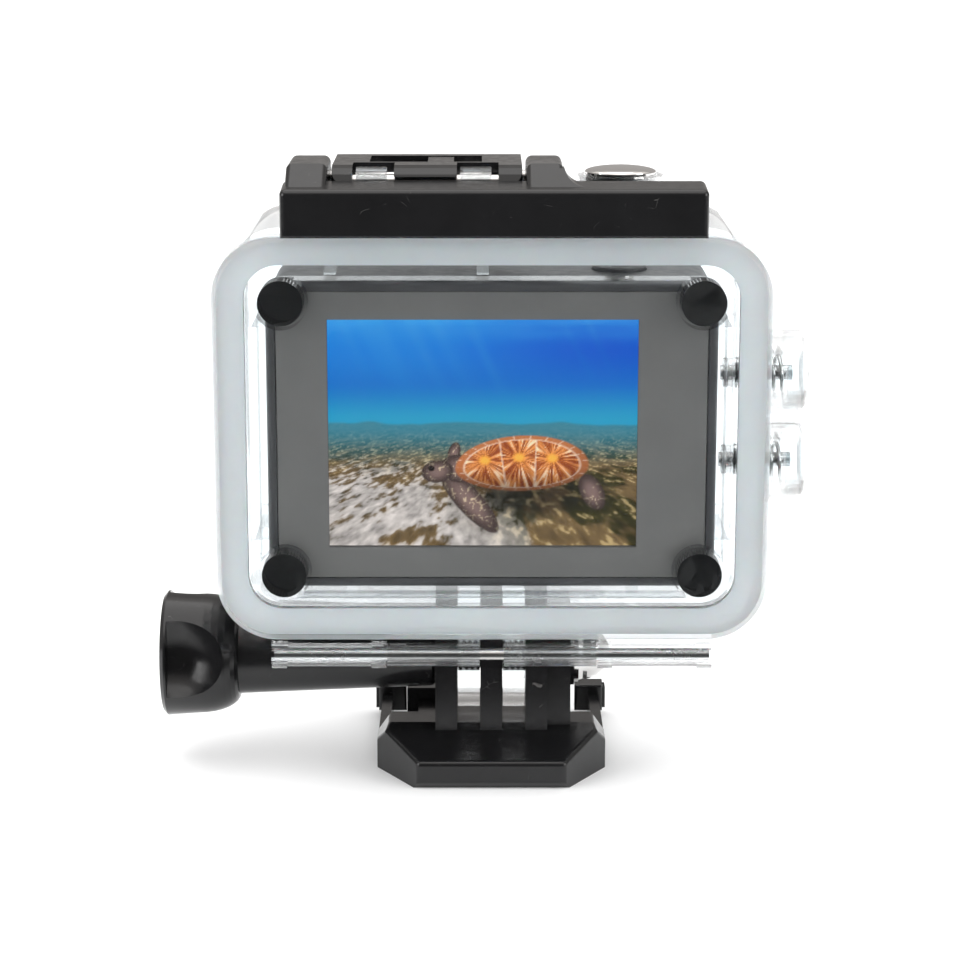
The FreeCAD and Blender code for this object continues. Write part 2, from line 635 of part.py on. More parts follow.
# ---- Rear door ----
def rear_door():
    """Clear door: frame, window pane, inner lip, pad rings, latch ridge and hinge knuckles."""
    z_edges = (door_bottom, door_top)
    door = plate(door_half, z_edges, door_corner_r, (door_outer_y, door_inner_y))
    door = door.makeFillet(door_round, edges_in_plane(door, 1, door_outer_y))
    lip_z = (door_mid_z - lip_half_h, door_mid_z + lip_half_h)
    lip = plate(lip_half, lip_z, camera_corner_r + 1.2, (door_outer_y + 1.0, flange_back_y + lip_depth))
    ridge = box((-ridge_half, ridge_half), (ridge_back_y, ridge_back_y + ridge_depth - seal_gap),
                (door_top - 1.0, door_top + ridge_height))
    top_edges = [e for e in edges_in_plane(ridge, 2, door_top + ridge_height)
                 if e.BoundBox.YMax < ridge_back_y + 0.1]
    ridge = ridge.makeFillet(hook_round, top_edges)
    parts = [door, lip, ridge]
    for sign in (-1, 1):
        inner, outer = sorted((sign * hinge_joint_x, sign * hinge_reach))
        parts.append(rod_x((inner, outer), hinge_y, hinge_z, knuckle_r))
        parts.append(box((inner, outer), (hinge_y - knuckle_r + 0.3, door_inner_y),
                         (hinge_z, door_bottom + 0.6)))
        for end in (inner, outer - 2.0):
            parts.append(rod_x((end, end + 2.0), hinge_y, hinge_z, band_r))
    body = fuse(parts)
    recess = plate(lip_half - lip_width, (lip_z[0] + lip_width, lip_z[1] - lip_width), camera_corner_r,
                   (door_outer_y + pane_thick, flange_back_y + lip_depth + 1.0))
    body = body.cut(recess).cut(gasket_room())
    rings = []
    for x, z in pad_places():
        rings.append(rod_y(x, (door_outer_y + pane_thick - 0.3, camera_back - 0.9), z, pad_r + pad_ring))
    body = fuse([body] + rings)
    for x, z in pad_places():
        body = body.cut(rod_y(x, (door_outer_y + pane_thick, camera_back), z, pad_r))
    return body.cut(rod_x((-hinge_reach - 1.0, hinge_reach + 1.0), hinge_y, hinge_z, hinge_pin_r + turn_gap))


def gasket_limits():
    """Half width and half height of the gasket's outer and inner edges."""
    outer = (lip_half + gasket_width, lip_half_h + gasket_width)
    return outer, (lip_half + seal_gap, lip_half_h + seal_gap)


def gasket_ring(y, grow):
    """Rectangular ring in the gasket's place, wider by a margin outside."""
    outer, inner = gasket_limits()
    ring = plate(outer[0] + grow, (door_mid_z - outer[1] - grow, door_mid_z + outer[1] + grow),
                 door_corner_r - 0.9 + grow, y)
    return ring.cut(plate(inner[0], (door_mid_z - inner[1], door_mid_z + inner[1]),
                          camera_corner_r + 1.3, (y[0] - 1.0, y[1] + 1.0)))


def gasket_room():
    """Groove in the door that the gasket lies in."""
    return gasket_ring((door_inner_y - gasket_thick, door_inner_y + 0.01), 0.0)


def door_gasket():
    """Silicone ring between the door and the case's flange."""
    return gasket_ring((door_inner_y - gasket_thick, door_inner_y), 0.0)


def pad_places():
    """Centres of the four rubber pads, tucked into the lip's corners."""
    x = lip_half - lip_width - pad_r - 0.1
    z = lip_half_h - lip_width - pad_r - 0.1
    return [(sx * x, door_mid_z + sz * z) for sx in (-1, 1) for sz in (-1, 1)]


def door_pads():
    """Rubber pads that press on the camera's back."""
    y = (door_outer_y + pane_thick, camera_back - rest_gap)
    pads = []
    for x, z in pad_places():
        pad = rod_y(x, y, z, pad_r)
        pads.append(pad.makeFillet(0.3, edges_in_plane(pad, 1, y[1])))
    return Part.makeCompound(pads)


def hinge_pin():
    """Steel pin through all the knuckles."""
    return rod_x((-hinge_reach + 0.3, hinge_reach - 0.3), hinge_y, hinge_z, hinge_pin_r)


# ---- Latch ----
def lever_cheeks():
    """Inner x limits of the lever's two side cheeks, clear of the lugs."""
    return lug_inner[0] - lug_thick - window_left, lug_inner[1] + lug_thick + window_right


def latch_lever():
    """Lever: curved top skin, two deep cheeks and the lock's slot."""
    top = lever_top
    nose_z = case_top + 1.2
    side = [(lever_back_y, pivot_z - 0.6), (lever_back_y, pivot_z + 0.3), (lever_back_y + 0.5, pivot_z + 1.2),
            (lever_back_y + 1.5, top - 0.3), (lever_back_y + 2.7, top), (lever_front_y - 4.2, top),
            (lever_front_y - 1.2, top - 1.0), (lever_front_y, top - 3.0),
            (lever_front_y, nose_z), (pivot_y + 2.0, case_top + 0.6), (pivot_y, pivot_z - 2.2)]
    solid = prism_x(side, lever_x)
    front_edges = [e for e in edges_along(solid, V(1, 0, 0))
                   if e.BoundBox.ZMin > top - 3.2 and e.BoundBox.YMin > -5.0]
    solid = solid.makeFillet(0.8, front_edges)
    corners = [e for e in edges_along(solid, V(0, 0, 1)) if e.BoundBox.YMax < lever_back_y + 0.01]
    solid = solid.makeFillet(lever_round, corners)
    cheek_left, cheek_right = lever_cheeks()
    inner_top = top - lever_skin
    room = [(pivot_y - 8.0, case_top - 1.0), (pivot_y - 8.0, inner_top), (lever_front_y - 4.4, inner_top),
            (lever_front_y - 1.6, inner_top - 2.0), (lever_front_y - 1.6, case_top - 1.0)]
    solid = solid.cut(prism_x(room, (cheek_left, cheek_right)))
    for x in (lug_inner[0] - lug_thick, lug_inner[1]):
        window = box((x - window_left, x + lug_thick + window_right),
                     (lever_back_y - 1.0, pivot_y + lug_r + 0.5), (pivot_z, top + 1.0))
        solid = solid.cut(window)
    solid = solid.cut(box(lock_slot, lock_lane(), (inner_top - 1.0, top + 1.0)))
    through = (lever_x[0] - 1.0, lever_x[1] + 1.0)
    solid = solid.cut(rod_x(through, pivot_y, pivot_z, latch_pin_r + turn_gap))
    return solid.cut(rod_x(through, bar_pin_y, pivot_z, latch_pin_r))


def lock_lane():
    """Y limits of the lock's slot in the lever."""
    return pivot_y + lug_r + 1.3, lever_front_y - 6.4


def latch_pivot_pin():
    """Steel pin in the case's lugs, on which the lever turns."""
    return rod_x((lever_x[0] + 0.5, lever_x[1] - 0.5), pivot_y, pivot_z, latch_pin_r)


def bar_pin():
    """Steel pin held in the lever, on which the bar turns."""
    return rod_x((bar_ear_left[0] + 1.2, bar_ear_right[1] - 1.2), bar_pin_y, pivot_z, latch_pin_r)


def ear_outline(top, shelf_y):
    """Side view of the bar's ears, from the bar's top forward to the pin."""
    return [(bar_back_y + 1.2, top - 2.0), (bar_back_y + 1.6, top - 0.1), (shelf_y + 0.4, lever_top + 0.5),
            (bar_pin_y + 1.0, lever_top + 0.5), (bar_pin_y + 2.8, pivot_z + 0.6),
            (bar_pin_y + 2.8, pivot_z - 2.0), (shelf_y - 2.0, pivot_z - 2.4)]


def latch_bar():
    """Bar that hooks over the door's ridge, with two ears forward to its pin."""
    top = pivot_z
    wall = box(bar_x, (bar_back_y, bar_inner_y), (bar_bottom, top))
    hook_edge = [e for e in edges_along(wall, V(1, 0, 0))
                 if e.BoundBox.ZMax < bar_bottom + 0.01 and e.BoundBox.YMin > bar_inner_y - 0.01]
    wall = wall.makeFillet(hook_round, hook_edge)
    shelf_y = lever_back_y - 0.7
    shelf = prism_x([(bar_back_y, top - 1.6), (bar_back_y, top), (shelf_y, top + 0.5), (shelf_y, top - 1.0)],
                    bar_x)
    block = fuse([wall, shelf])
    sides = [e for e in block.Edges
             if (abs(e.BoundBox.XMin - bar_x[0]) < 1e-4 or abs(e.BoundBox.XMax - bar_x[1]) < 1e-4)
             and e.BoundBox.XLength < 1e-4 and e.BoundBox.ZMin > top - 0.1]
    block = block.makeFillet(bar_round, sides + edges_in_plane(block, 1, bar_back_y))
    parts = [block]
    outline = ear_outline(top, shelf_y)
    for x in (bar_ear_left, bar_ear_right):
        ear = prism_x(outline, x)
        upper = [e for e in ear.Edges if e.BoundBox.XLength < 1e-4 and e.BoundBox.ZMin > top - 0.2
                 and e.BoundBox.ZMax > lever_top]
        parts.append(ear.makeFillet(ear_round, upper))
    sweep_x = (bar_ear_right[1] - ear_round, bar_ear_right[1] + ear_sweep)
    room = box(sweep_x, (bar_back_y, shelf_y + 1.6), (top - 2.0, lever_top))
    hollow = rod_y(sweep_x[1], (bar_back_y - 1.0, bar_pin_y), top + 0.2 + ear_sweep, ear_sweep)
    parts.append(prism_x(outline, sweep_x).common(room).cut(hollow))
    body = fuse(parts)
    return body.cut(rod_x(bar_x, bar_pin_y, pivot_z, latch_pin_r + turn_gap))


def lock_slider():
    """Lock button in the lever's slot, with a keeper below the skin and a tongue beside it."""
    skin_low = lever_top - lever_skin
    lane = lock_lane()
    post = box(lock_x, (lane[0] + slide_gap, lane[1] - slide_gap), (skin_low - 0.4, lever_top - 0.1))
    keeper = box((lock_x[0] - 1.4, lock_x[1] + 1.2), (lane[0] - 0.6, lane[1] + 0.6),
                 (skin_low - 1.4, skin_low - slide_gap))
    mid_y = (lane[0] + lane[1]) / 2.0
    arrow = prism_z([(lock_x[0] + join, lane[0] + rest_gap), (lock_x[0] + join, mid_y),
                     (lock_x[0] - lock_arrow, mid_y - 0.4)], (skin_low - 0.4, lever_top - 0.5))
    tongue_y, tongue_z, stand_off = tongue_limits()
    stalk = box((lock_x[0], lock_x[0] + 1.3), tongue_y, (tongue_z[0], skin_low - 1.0))
    tongue = box((lock_x[0], lug_inner[1] - stand_off), tongue_y, tongue_z)
    pin_room = rod_x((lock_x[0] - 2.0 * lock_arrow, lug_inner[1] + 1.0), bar_pin_y, pivot_z,
                     latch_pin_r + 2.0 * slide_gap)
    return fuse([post, keeper, arrow, stalk, tongue]).cut(pin_room)


# ---- Camera ----
def camera_shell(y, open_back):
    """Five-sided moulding: one half of the camera's casing."""
    half = camera_width / 2.0
    block = plate(half, (camera_bottom, camera_top), camera_corner_r, y)
    face_y = y[0] if open_back else y[1]
    block = block.makeFillet(0.9, edges_in_plane(block, 1, face_y))
    inner_y = (y[0] + camera_wall, y[1] + 1.0) if open_back else (y[0] - 1.0, y[1] - camera_wall)
    hollow = plate(half - camera_wall, (camera_bottom + camera_wall, camera_top - camera_wall),
                   camera_corner_r - camera_wall, inner_y)
    return block.cut(hollow)


def camera_keys():
    """Each camera key: its name, centre on the casing's face, and outward axis."""
    half = camera_width / 2.0
    return [("shutter", V(shutter_x, button_y, camera_top), V(0, 0, 1)),
            ("down", V(half, button_y, side_button_z[0]), V(1, 0, 0)),
            ("up", V(half, button_y, side_button_z[1]), V(1, 0, 0)),
            ("power", V(power_x, camera_front, power_z), V(0, 1, 0))]


def camera_key():
    """Key with an inner flange that keeps it in, built up along +Z from the casing's face."""
    post = Part.makeCylinder(key_r, camera_wall + key_proud + slide_gap, V(0, 0, -camera_wall - slide_gap))
    post = post.makeFillet(0.25, edges_in_plane(post, 2, key_proud))
    flange = Part.makeCylinder(key_r + 0.8, key_flange, V(0, 0, -camera_wall - slide_gap - key_flange))
    return post.fuse(flange).removeSplitter()


def screen_limits():
    """X and z limits of the lit screen."""
    z = camera_mid_z + screen_lift
    return (screen_x - screen_width / 2.0, screen_x + screen_width / 2.0), (z - screen_height / 2.0,
                                                                         z + screen_height / 2.0)


def rear_cover():
    """Rear half of the casing, with a seat for the panel and an opening for the screen."""
    y = (camera_back, camera_back + rear_cover_depth)
    cover = camera_shell(y, True)
    half = camera_width / 2.0 - panel_border
    seat = plate(half, (camera_bottom + panel_border, camera_top - panel_border),
                 camera_corner_r - panel_border + 0.6, (camera_back - 1.0, camera_back + panel_thick))
    x, z = screen_limits()
    opening = box((x[0] - 0.5, x[1] + 0.5), (camera_back, camera_back + 3.0), (z[0] - 0.5, z[1] + 0.5))
    return cover.cut(seat).cut(opening)


def screen_window():
    """Glossy panel over the camera's whole back."""
    half = camera_width / 2.0 - panel_border - seal_gap
    low = camera_bottom + panel_border + seal_gap
    high = camera_top - panel_border - seal_gap
    panel = plate(half, (low, high), camera_corner_r - panel_border + 0.6,
                  (camera_back + 0.1, camera_back + panel_thick))
    return panel.makeFillet(0.2, edges_in_plane(panel, 1, camera_back + 0.1))


def lcd_panel():
    """Screen module behind the panel."""
    x, z = screen_limits()
    y = camera_back + panel_thick + seal_gap
    glass = box(x, (y, y + 0.6), z)
    tray = box((x[0] - 1.4, x[1] + 1.4),
               (camera_back + camera_wall + seal_gap, camera_back + camera_wall + module_thick),
               (z[0] - 1.4, z[1] + 1.4))
    return glass.fuse(tray).removeSplitter()


def front_cover():
    """Front half of the casing, with openings for the lens, keys and battery door."""
    y = (camera_back + rear_cover_depth + seal_gap, camera_front)
    cover = camera_shell(y, False)
    cover = cover.cut(rod_y(lens_x, (camera_front - 3.0, camera_front + 1.0), lens_z, lens_ring_r - 1.2))
    for name, centre, axis in camera_keys():
        hole = Part.makeCylinder(key_r + rest_gap, camera_wall + 2.0, V(0, 0, -camera_wall - 1.0))
        cover = cover.cut(placed(hole, centre, axis))
    door_x, door_y = battery_door_limits(slide_gap)
    cover = cover.cut(box(door_x, door_y, (camera_bottom - 1.0, camera_bottom + camera_wall + 1.0)))
    for x, z in cover_screw_places():
        cover = cover.cut(rod_y(x, (camera_front - 0.8, camera_front + 1.0), z, cover_screw_r + slide_gap))
    return cover


def battery_door_limits(grow):
    """X and y limits of the battery door in the camera's underside."""
    half = battery_size[0] / 2.0 + 0.6 + grow
    back = camera_back + rear_cover_depth + 1.2
    return (battery_x - half, battery_x + half), (back - grow, back + battery_size[1] + 1.6 + grow)


def battery_door():
    """Flush door under the battery, with a finger groove."""
    x, y = battery_door_limits(0.0)
    door = box(x, y, (camera_bottom + 0.05, camera_bottom + camera_wall - 0.1))
    groove = Part.makeCylinder(1.6, 8.0, V(x[1] - 9.5, (y[0] + y[1]) / 2.0, camera_bottom - 1.1), V(1, 0, 0))
    return door.cut(groove)


def cover_screw_places():
    """Centres of the four screws in the front cover's corners."""
    x = camera_width / 2.0 - 3.4
    z = camera_height / 2.0 - 3.4
    return [(sx * x, camera_mid_z + sz * z) for sx in (-1, 1) for sz in (-1, 1)]


def cover_screws():
    """Cross-head screws that hold the camera's two halves together."""
    screws = []
    for x, z in cover_screw_places():
        head = rod_y(x, (camera_front - 0.8, camera_front - 0.15), z, cover_screw_r)
        slot = 0.2
        head = head.cut(box((x - 2.0, x + 2.0), (camera_front - 0.45, camera_front), (z - slot, z + slot)))
        screws.append(head.cut(box((x - slot, x + slot), (camera_front - 0.45, camera_front),
                                   (z - 2.0, z + 2.0))))
    return Part.makeCompound(screws)


def lens_pieces():
    """Trim ring, lens barrel and front glass."""
    ring_y = (camera_front - camera_wall, camera_front + lens_ring_length)
    ring = rod_y(lens_x, (camera_front, ring_y[1]), lens_z, lens_ring_r)
    ring = ring.makeFillet(0.7, edges_in_plane(ring, 1, ring_y[1]))
    ring = ring.fuse(rod_y(lens_x, (ring_y[0], camera_front), lens_z, lens_ring_r - 1.2 - slide_gap))
    dish = Part.makeCone(lens_barrel_r + 0.15, lens_ring_r - 1.4, 2.4,
                         V(lens_x, ring_y[1] - 2.2, lens_z), V(0, 1, 0))
    bore = rod_y(lens_x, (ring_y[0] - 1.0, ring_y[1] + 1.0), lens_z, lens_barrel_r + slide_gap)
    ring = ring.cut(dish).cut(bore)
    barrel_y = (camera_back + 10.5, ring_y[1] - 2.4)
    barrel = rod_y(lens_x, barrel_y, lens_z, lens_barrel_r)
    barrel = barrel.cut(rod_y(lens_x, (barrel_y[1] - 2.2, barrel_y[1] + 1.0), lens_z, lens_glass_r))
    barrel = barrel.cut(rod_y(lens_x, (barrel_y[0] + 1.0, barrel_y[1]), lens_z, lens_glass_r * 0.55))
    profile = [(0, 0), (lens_glass_r - slide_gap, 0), (lens_glass_r - slide_gap, 0.7)]
    crown = 1.3
    for i in range(1, 12):
        turn = math.radians(90.0 * i / 12.0)
        profile.append(((lens_glass_r - slide_gap) * math.cos(turn), 0.7 + crown * math.sin(turn)))
    profile.append((0, 0.7 + crown))
    glass = turned(profile, V(lens_x, barrel_y[1] - 2.2, lens_z), V(0, 1, 0))
    return ring.removeSplitter(), barrel, glass


def inner_pieces():
    """Boards, battery, card and speaker inside the camera."""
    left = -camera_width / 2.0 + camera_wall + 1.2
    right = camera_width / 2.0 - camera_wall - 1.2
    low = camera_bottom + camera_wall + 1.0
    high = camera_top - camera_wall - 3.0
    board_y = camera_back + camera_wall + module_thick + 0.6
    main = box((left, right), (board_y, board_y + board_thick), (low + 0.6, high))
    chip_y = board_y + board_thick
    main = fuse([main, box((left + 3.0, left + 13.0), (chip_y, chip_y + 1.2), (high - 14.0, high - 4.0))])
    sensor_y = camera_back + 10.5 - board_thick - seal_gap
    sensor = box((lens_x - 9.0, lens_x + 9.0), (sensor_y, sensor_y + board_thick),
                 (lens_z - 8.5, lens_z + 8.5))
    battery_y = camera_back + rear_cover_depth + 1.4
    battery_z = camera_bottom + camera_wall + 0.4
    battery = box((battery_x - battery_size[0] / 2.0, battery_x + battery_size[0] / 2.0),
                  (battery_y, battery_y + battery_size[1]), (battery_z, battery_z + battery_size[2]))
    battery = battery.makeFillet(0.9, edges_along(battery, V(0, 0, 1)))
    card = box((left + 1.0, left + 12.0), (chip_y + 0.3, chip_y + 1.3), (low + 1.5, low + 10.0))
    speaker_y = (camera_front - camera_wall - 3.6, camera_front - camera_wall - 0.4)
    speaker = rod_y(left + 8.0, speaker_y, low + 5.4, 5.0)
    speaker = speaker.makeFillet(0.4, edges_in_plane(speaker, 1, speaker_y[1]))
    return {"main_board": main, "sensor_board": sensor, "battery": battery, "memory_card": card,
            "speaker": speaker}


# ---- Build ----
def build():
    """Every sub-part by its node name."""
    nodes = {"buckle": buckle(), "buckle_arm_left": buckle_arm(-1), "buckle_arm_right": buckle_arm(1),
             "clamp_nut": clamp_nut()}
    nodes["screw_rod"], nodes["screw_knob"] = screw_pieces()
    nodes["case_shell"] = case_shell()
    gasket, glass, ring, screws = port_pieces()
    nodes.update({"port_gasket": gasket, "port_glass": glass, "port_ring": ring, "port_screws": screws})
    nodes.update({"hinge_pin": hinge_pin(), "latch_pivot_pin": latch_pivot_pin()})
    nodes.update({"rear_door": rear_door(), "door_gasket": door_gasket(), "door_pads": door_pads()})
    nodes.update({"latch_lever": latch_lever(), "latch_bar": latch_bar(), "bar_pin": bar_pin(),
                  "lock_slider": lock_slider()})
    for name, foot, axis, radius, guard, wall, room in buttons():
        for piece, shape in plunger_set(radius, guard, wall, room).items():
            nodes[name + "_" + piece] = placed(shape, foot, axis)
    for name, centre, axis in camera_keys():
        nodes["camera_" + name + "_key"] = placed(camera_key(), centre, axis)
    nodes.update({"camera_front_cover": front_cover(), "camera_rear_cover": rear_cover(),
                  "screen_window": screen_window(), "lcd_panel": lcd_panel(), "battery_door": battery_door(),
                  "cover_screws": cover_screws()})
    nodes["lens_trim_ring"], nodes["lens_barrel"], nodes["lens_glass"] = lens_pieces()
    nodes.update(inner_pieces())
    return nodes


def main():
    """Write one STEP file per node."""
    os.makedirs("parts", exist_ok=True)
    for name, shape in build().items():
        shape.exportStep("parts/" + name + ".step")
        print(name, round(shape.Volume, 1), "valid" if shape.isValid() else "NOT VALID", len(shape.Solids))


main()
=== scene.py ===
"""Looks of an action camera in a clear dive housing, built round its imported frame.

Each sub-assembly is a class that holds its sizes and makes its own meshes. Finishes are
frozen dataclasses that make one material each. Every length is in metres.
"""

import json
import logging
import math
from dataclasses import dataclass
from enum import Enum

import bpy
import numpy as np
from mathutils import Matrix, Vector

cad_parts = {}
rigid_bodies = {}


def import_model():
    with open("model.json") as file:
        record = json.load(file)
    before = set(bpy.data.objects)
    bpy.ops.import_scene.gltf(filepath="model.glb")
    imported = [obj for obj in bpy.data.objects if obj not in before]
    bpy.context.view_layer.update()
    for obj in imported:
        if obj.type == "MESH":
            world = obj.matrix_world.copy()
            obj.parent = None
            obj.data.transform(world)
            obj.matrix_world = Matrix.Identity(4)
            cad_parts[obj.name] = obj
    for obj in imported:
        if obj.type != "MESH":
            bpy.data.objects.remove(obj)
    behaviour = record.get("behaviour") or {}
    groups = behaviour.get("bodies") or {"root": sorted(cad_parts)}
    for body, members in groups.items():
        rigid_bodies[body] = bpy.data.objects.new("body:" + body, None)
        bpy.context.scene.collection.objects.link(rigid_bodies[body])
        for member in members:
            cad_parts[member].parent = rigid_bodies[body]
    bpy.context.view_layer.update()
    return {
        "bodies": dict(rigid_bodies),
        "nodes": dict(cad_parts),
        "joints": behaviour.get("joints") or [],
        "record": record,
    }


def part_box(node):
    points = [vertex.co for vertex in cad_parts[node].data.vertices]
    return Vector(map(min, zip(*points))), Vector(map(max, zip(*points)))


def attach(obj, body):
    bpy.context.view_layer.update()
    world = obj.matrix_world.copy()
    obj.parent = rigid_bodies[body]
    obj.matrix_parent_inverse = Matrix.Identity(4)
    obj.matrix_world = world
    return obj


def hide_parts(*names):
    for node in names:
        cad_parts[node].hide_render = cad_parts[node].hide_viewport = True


LOG = logging.getLogger("dive_camera")
MM = 0.001
SCREEN_RIM = 1.4 * MM      # the display module stands this far beyond its lit area
PANEL_EDGE = 0.03 * MM     # half the width over which the smoked panel turns clear
PANEL_CLEAR = 0.04         # what the panel's clear window keeps of its opacity

COAT_ROUGHNESS = 0.03
BUMP_STRENGTH = 0.5
SUBSURFACE_REACH = 0.002
STRAIGHT_DOWN = 0.999999
SMOOTHSTEP = "SMOOTHSTEP"
RANGE_INPUTS = ("From Min", "From Max", "To Min", "To Max")

Array = np.ndarray
Colour = tuple[float, float, float]
Span = tuple[float, float]
Tree = bpy.types.NodeTree
Socket = bpy.types.NodeSocket


class Effect(Enum):
    """Shared surface effects, each one shader node group."""

    GRAIN = "fine_grain"
    SMUDGE = "handling_smudges"
    BRUSH = "turning_marks"
    SCRATCH = "hairline_scratches"


# ---- Arrays and meshes ----
def value_noise(x: Array, y: Array, cell: float, seed: int) -> Array:
    """Smooth random values on a square lattice.

    The value at a point is the cosine-like blend 3t^2 - 2t^3 of the four lattice values
    round it.

    Args:
        x: First coordinates.
        y: Second coordinates, the same shape.
        cell: Lattice spacing, in the coordinates' unit.
        seed: Seed of the lattice's random table.

    Returns:
        Values between 0 and 1.
    """
    side = 64
    table = np.random.default_rng(seed).random((side, side))
    ix, iy = np.floor(x / cell).astype(int), np.floor(y / cell).astype(int)
    fx, fy = x / cell - ix, y / cell - iy
    fx, fy = fx * fx * (3.0 - 2.0 * fx), fy * fy * (3.0 - 2.0 * fy)
    left, right, near, far = ix % side, (ix + 1) % side, iy % side, (iy + 1) % side
    low = table[left, near] * (1.0 - fx) + table[right, near] * fx
    high = table[left, far] * (1.0 - fx) + table[right, far] * fx
    return low * (1.0 - fy) + high * fy


def fractal(x: Array, y: Array, cell: float, seed: int, octaves: int = 4) -> Array:
    """Sum of value noises, each with half the cell and half the weight of the last.

    Args:
        x: First coordinates.
        y: Second coordinates.
        cell: Largest lattice spacing.
        seed: Seed of the first octave.
        octaves: How many noises are summed.

    Returns:
        Values between 0 and 1.
    """
    total = np.zeros_like(x)
    for i in range(octaves):
        total += 0.5**i * value_noise(x + 7.3 * i, y + 3.1 * i, cell * 0.5**i, seed + i)
    return total / (2.0 - 0.5 ** (octaves - 1))


def smooth(low: float, high: float, value: Array) -> Array:
    """Smooth step of a value: 3t^2 - 2t^3 between two ends, which may run either way.

    Args:
        low: Value at which the step is 0.
        high: Value at which the step is 1.
        value: The values to map.

    Returns:
        Shares between 0 and 1.
    """
    t = np.clip((value - low) / (high - low), 0.0, 1.0)
    return t * t * (3.0 - 2.0 * t)


def blend(first: Array | Colour, second: Array | Colour, mask: Array) -> Array:
    """Colours mixed by a mask.

    Args:
        first: Colours where the mask is 0.
        second: Colours where the mask is 1.
        mask: Share of the second colour at each point.

    Returns:
        One colour per point of the mask.
    """
    first, second = np.asarray(first), np.asarray(second)
    return first + (second - first) * mask[..., None]


def ellipse(x: Array, y: Array, long_half: float, short_half: float, turn: float) -> Array:
    """Distance from an ellipse's centre, as a share of its radius in that direction.

    Args:
        x: First coordinates from the centre.
        y: Second coordinates from the centre.
        long_half: Half the first axis.
        short_half: Half the second axis.
        turn: Angle of the first axis, in radians.

    Returns:
        0 at the centre, 1 on the ellipse and more outside it.
    """
    cos, sin = math.cos(turn), math.sin(turn)
    return np.hypot((x * cos + y * sin) / long_half, (y * cos - x * sin) / short_half)


def grid_faces(rows: int, columns: int, wrap_columns: bool = False) -> Array:
    """Quads of a rows by columns grid of vertices numbered row by row.

    Args:
        rows: Number of vertex rows.
        columns: Number of vertices in a row.
        wrap_columns: Whether each row closes on itself.

    Returns:
        One row of four vertex numbers per quad.
    """
    r = np.arange(rows - 1)
    c = np.arange(columns if wrap_columns else columns - 1)
    rr, cc = np.meshgrid(r, c, indexing="ij")
    here, down, right = rr * columns, (rr + 1) * columns, (cc + 1) % columns
    quads = np.stack([here + cc, here + right, down + right, down + cc], axis=-1)
    return quads.reshape(-1, 4)


def mesh_piece(name: str, points: Array, faces: list[list[int]], material: bpy.types.Material,
               is_smooth: bool = True) -> bpy.types.Object:
    """New object at the origin from arrays of points and faces.

    Args:
        name: The piece's name.
        points: One row of x, y, z per vertex.
        faces: Vertex numbers of each face.
        material: The piece's finish.
        is_smooth: Whether the faces are smooth shaded.

    Returns:
        The linked object.
    """
    mesh = bpy.data.meshes.new(name)
    mesh.from_pydata(points.reshape(-1, 3).tolist(), [], faces)
    mesh.polygons.foreach_set("use_smooth", np.full(len(mesh.polygons), is_smooth))
    mesh.materials.append(material)
    mesh.update()
    obj = bpy.data.objects.new(name, mesh)
    bpy.context.scene.collection.objects.link(obj)
    return obj


def report(obj: bpy.types.Object) -> None:
    """Log a finished piece and its number of faces.

    Args:
        obj: The piece.
    """
    LOG.info("%s: %d faces", obj.name, len(obj.data.polygons))


# ---- Shader nodes ----
def math_node(tree: Tree, operation: str, *values: float | Socket) -> Socket:
    """Result of a math operation.

    Args:
        tree: The node tree that gets the node.
        operation: The operation's name.
        values: A socket or a number for each input, in order.

    Returns:
        The node's output.
    """
    node = tree.nodes.new("ShaderNodeMath")
    node.operation = operation
    for socket, value in zip(node.inputs, values):
        if isinstance(value, Socket):
            tree.links.new(value, socket)
        else:
            socket.default_value = value
    return node.outputs[0]


def map_range(tree: Tree, value: Socket, source: Span, target: Span,
              interpolation: str = "LINEAR") -> Socket:
    """Value mapped from one range to another, clamped.

    Args:
        tree: The node tree that gets the node.
        value: The value to map.
        source: The value's two ends.
        target: What the two ends become.
        interpolation: How values between the ends are mapped.

    Returns:
        The node's output.
    """
    node = tree.nodes.new("ShaderNodeMapRange")
    node.interpolation_type = interpolation
    for name, number in zip(RANGE_INPUTS, (*source, *target)):
        node.inputs[name].default_value = number
    tree.links.new(value, node.inputs["Value"])
    return node.outputs["Result"]


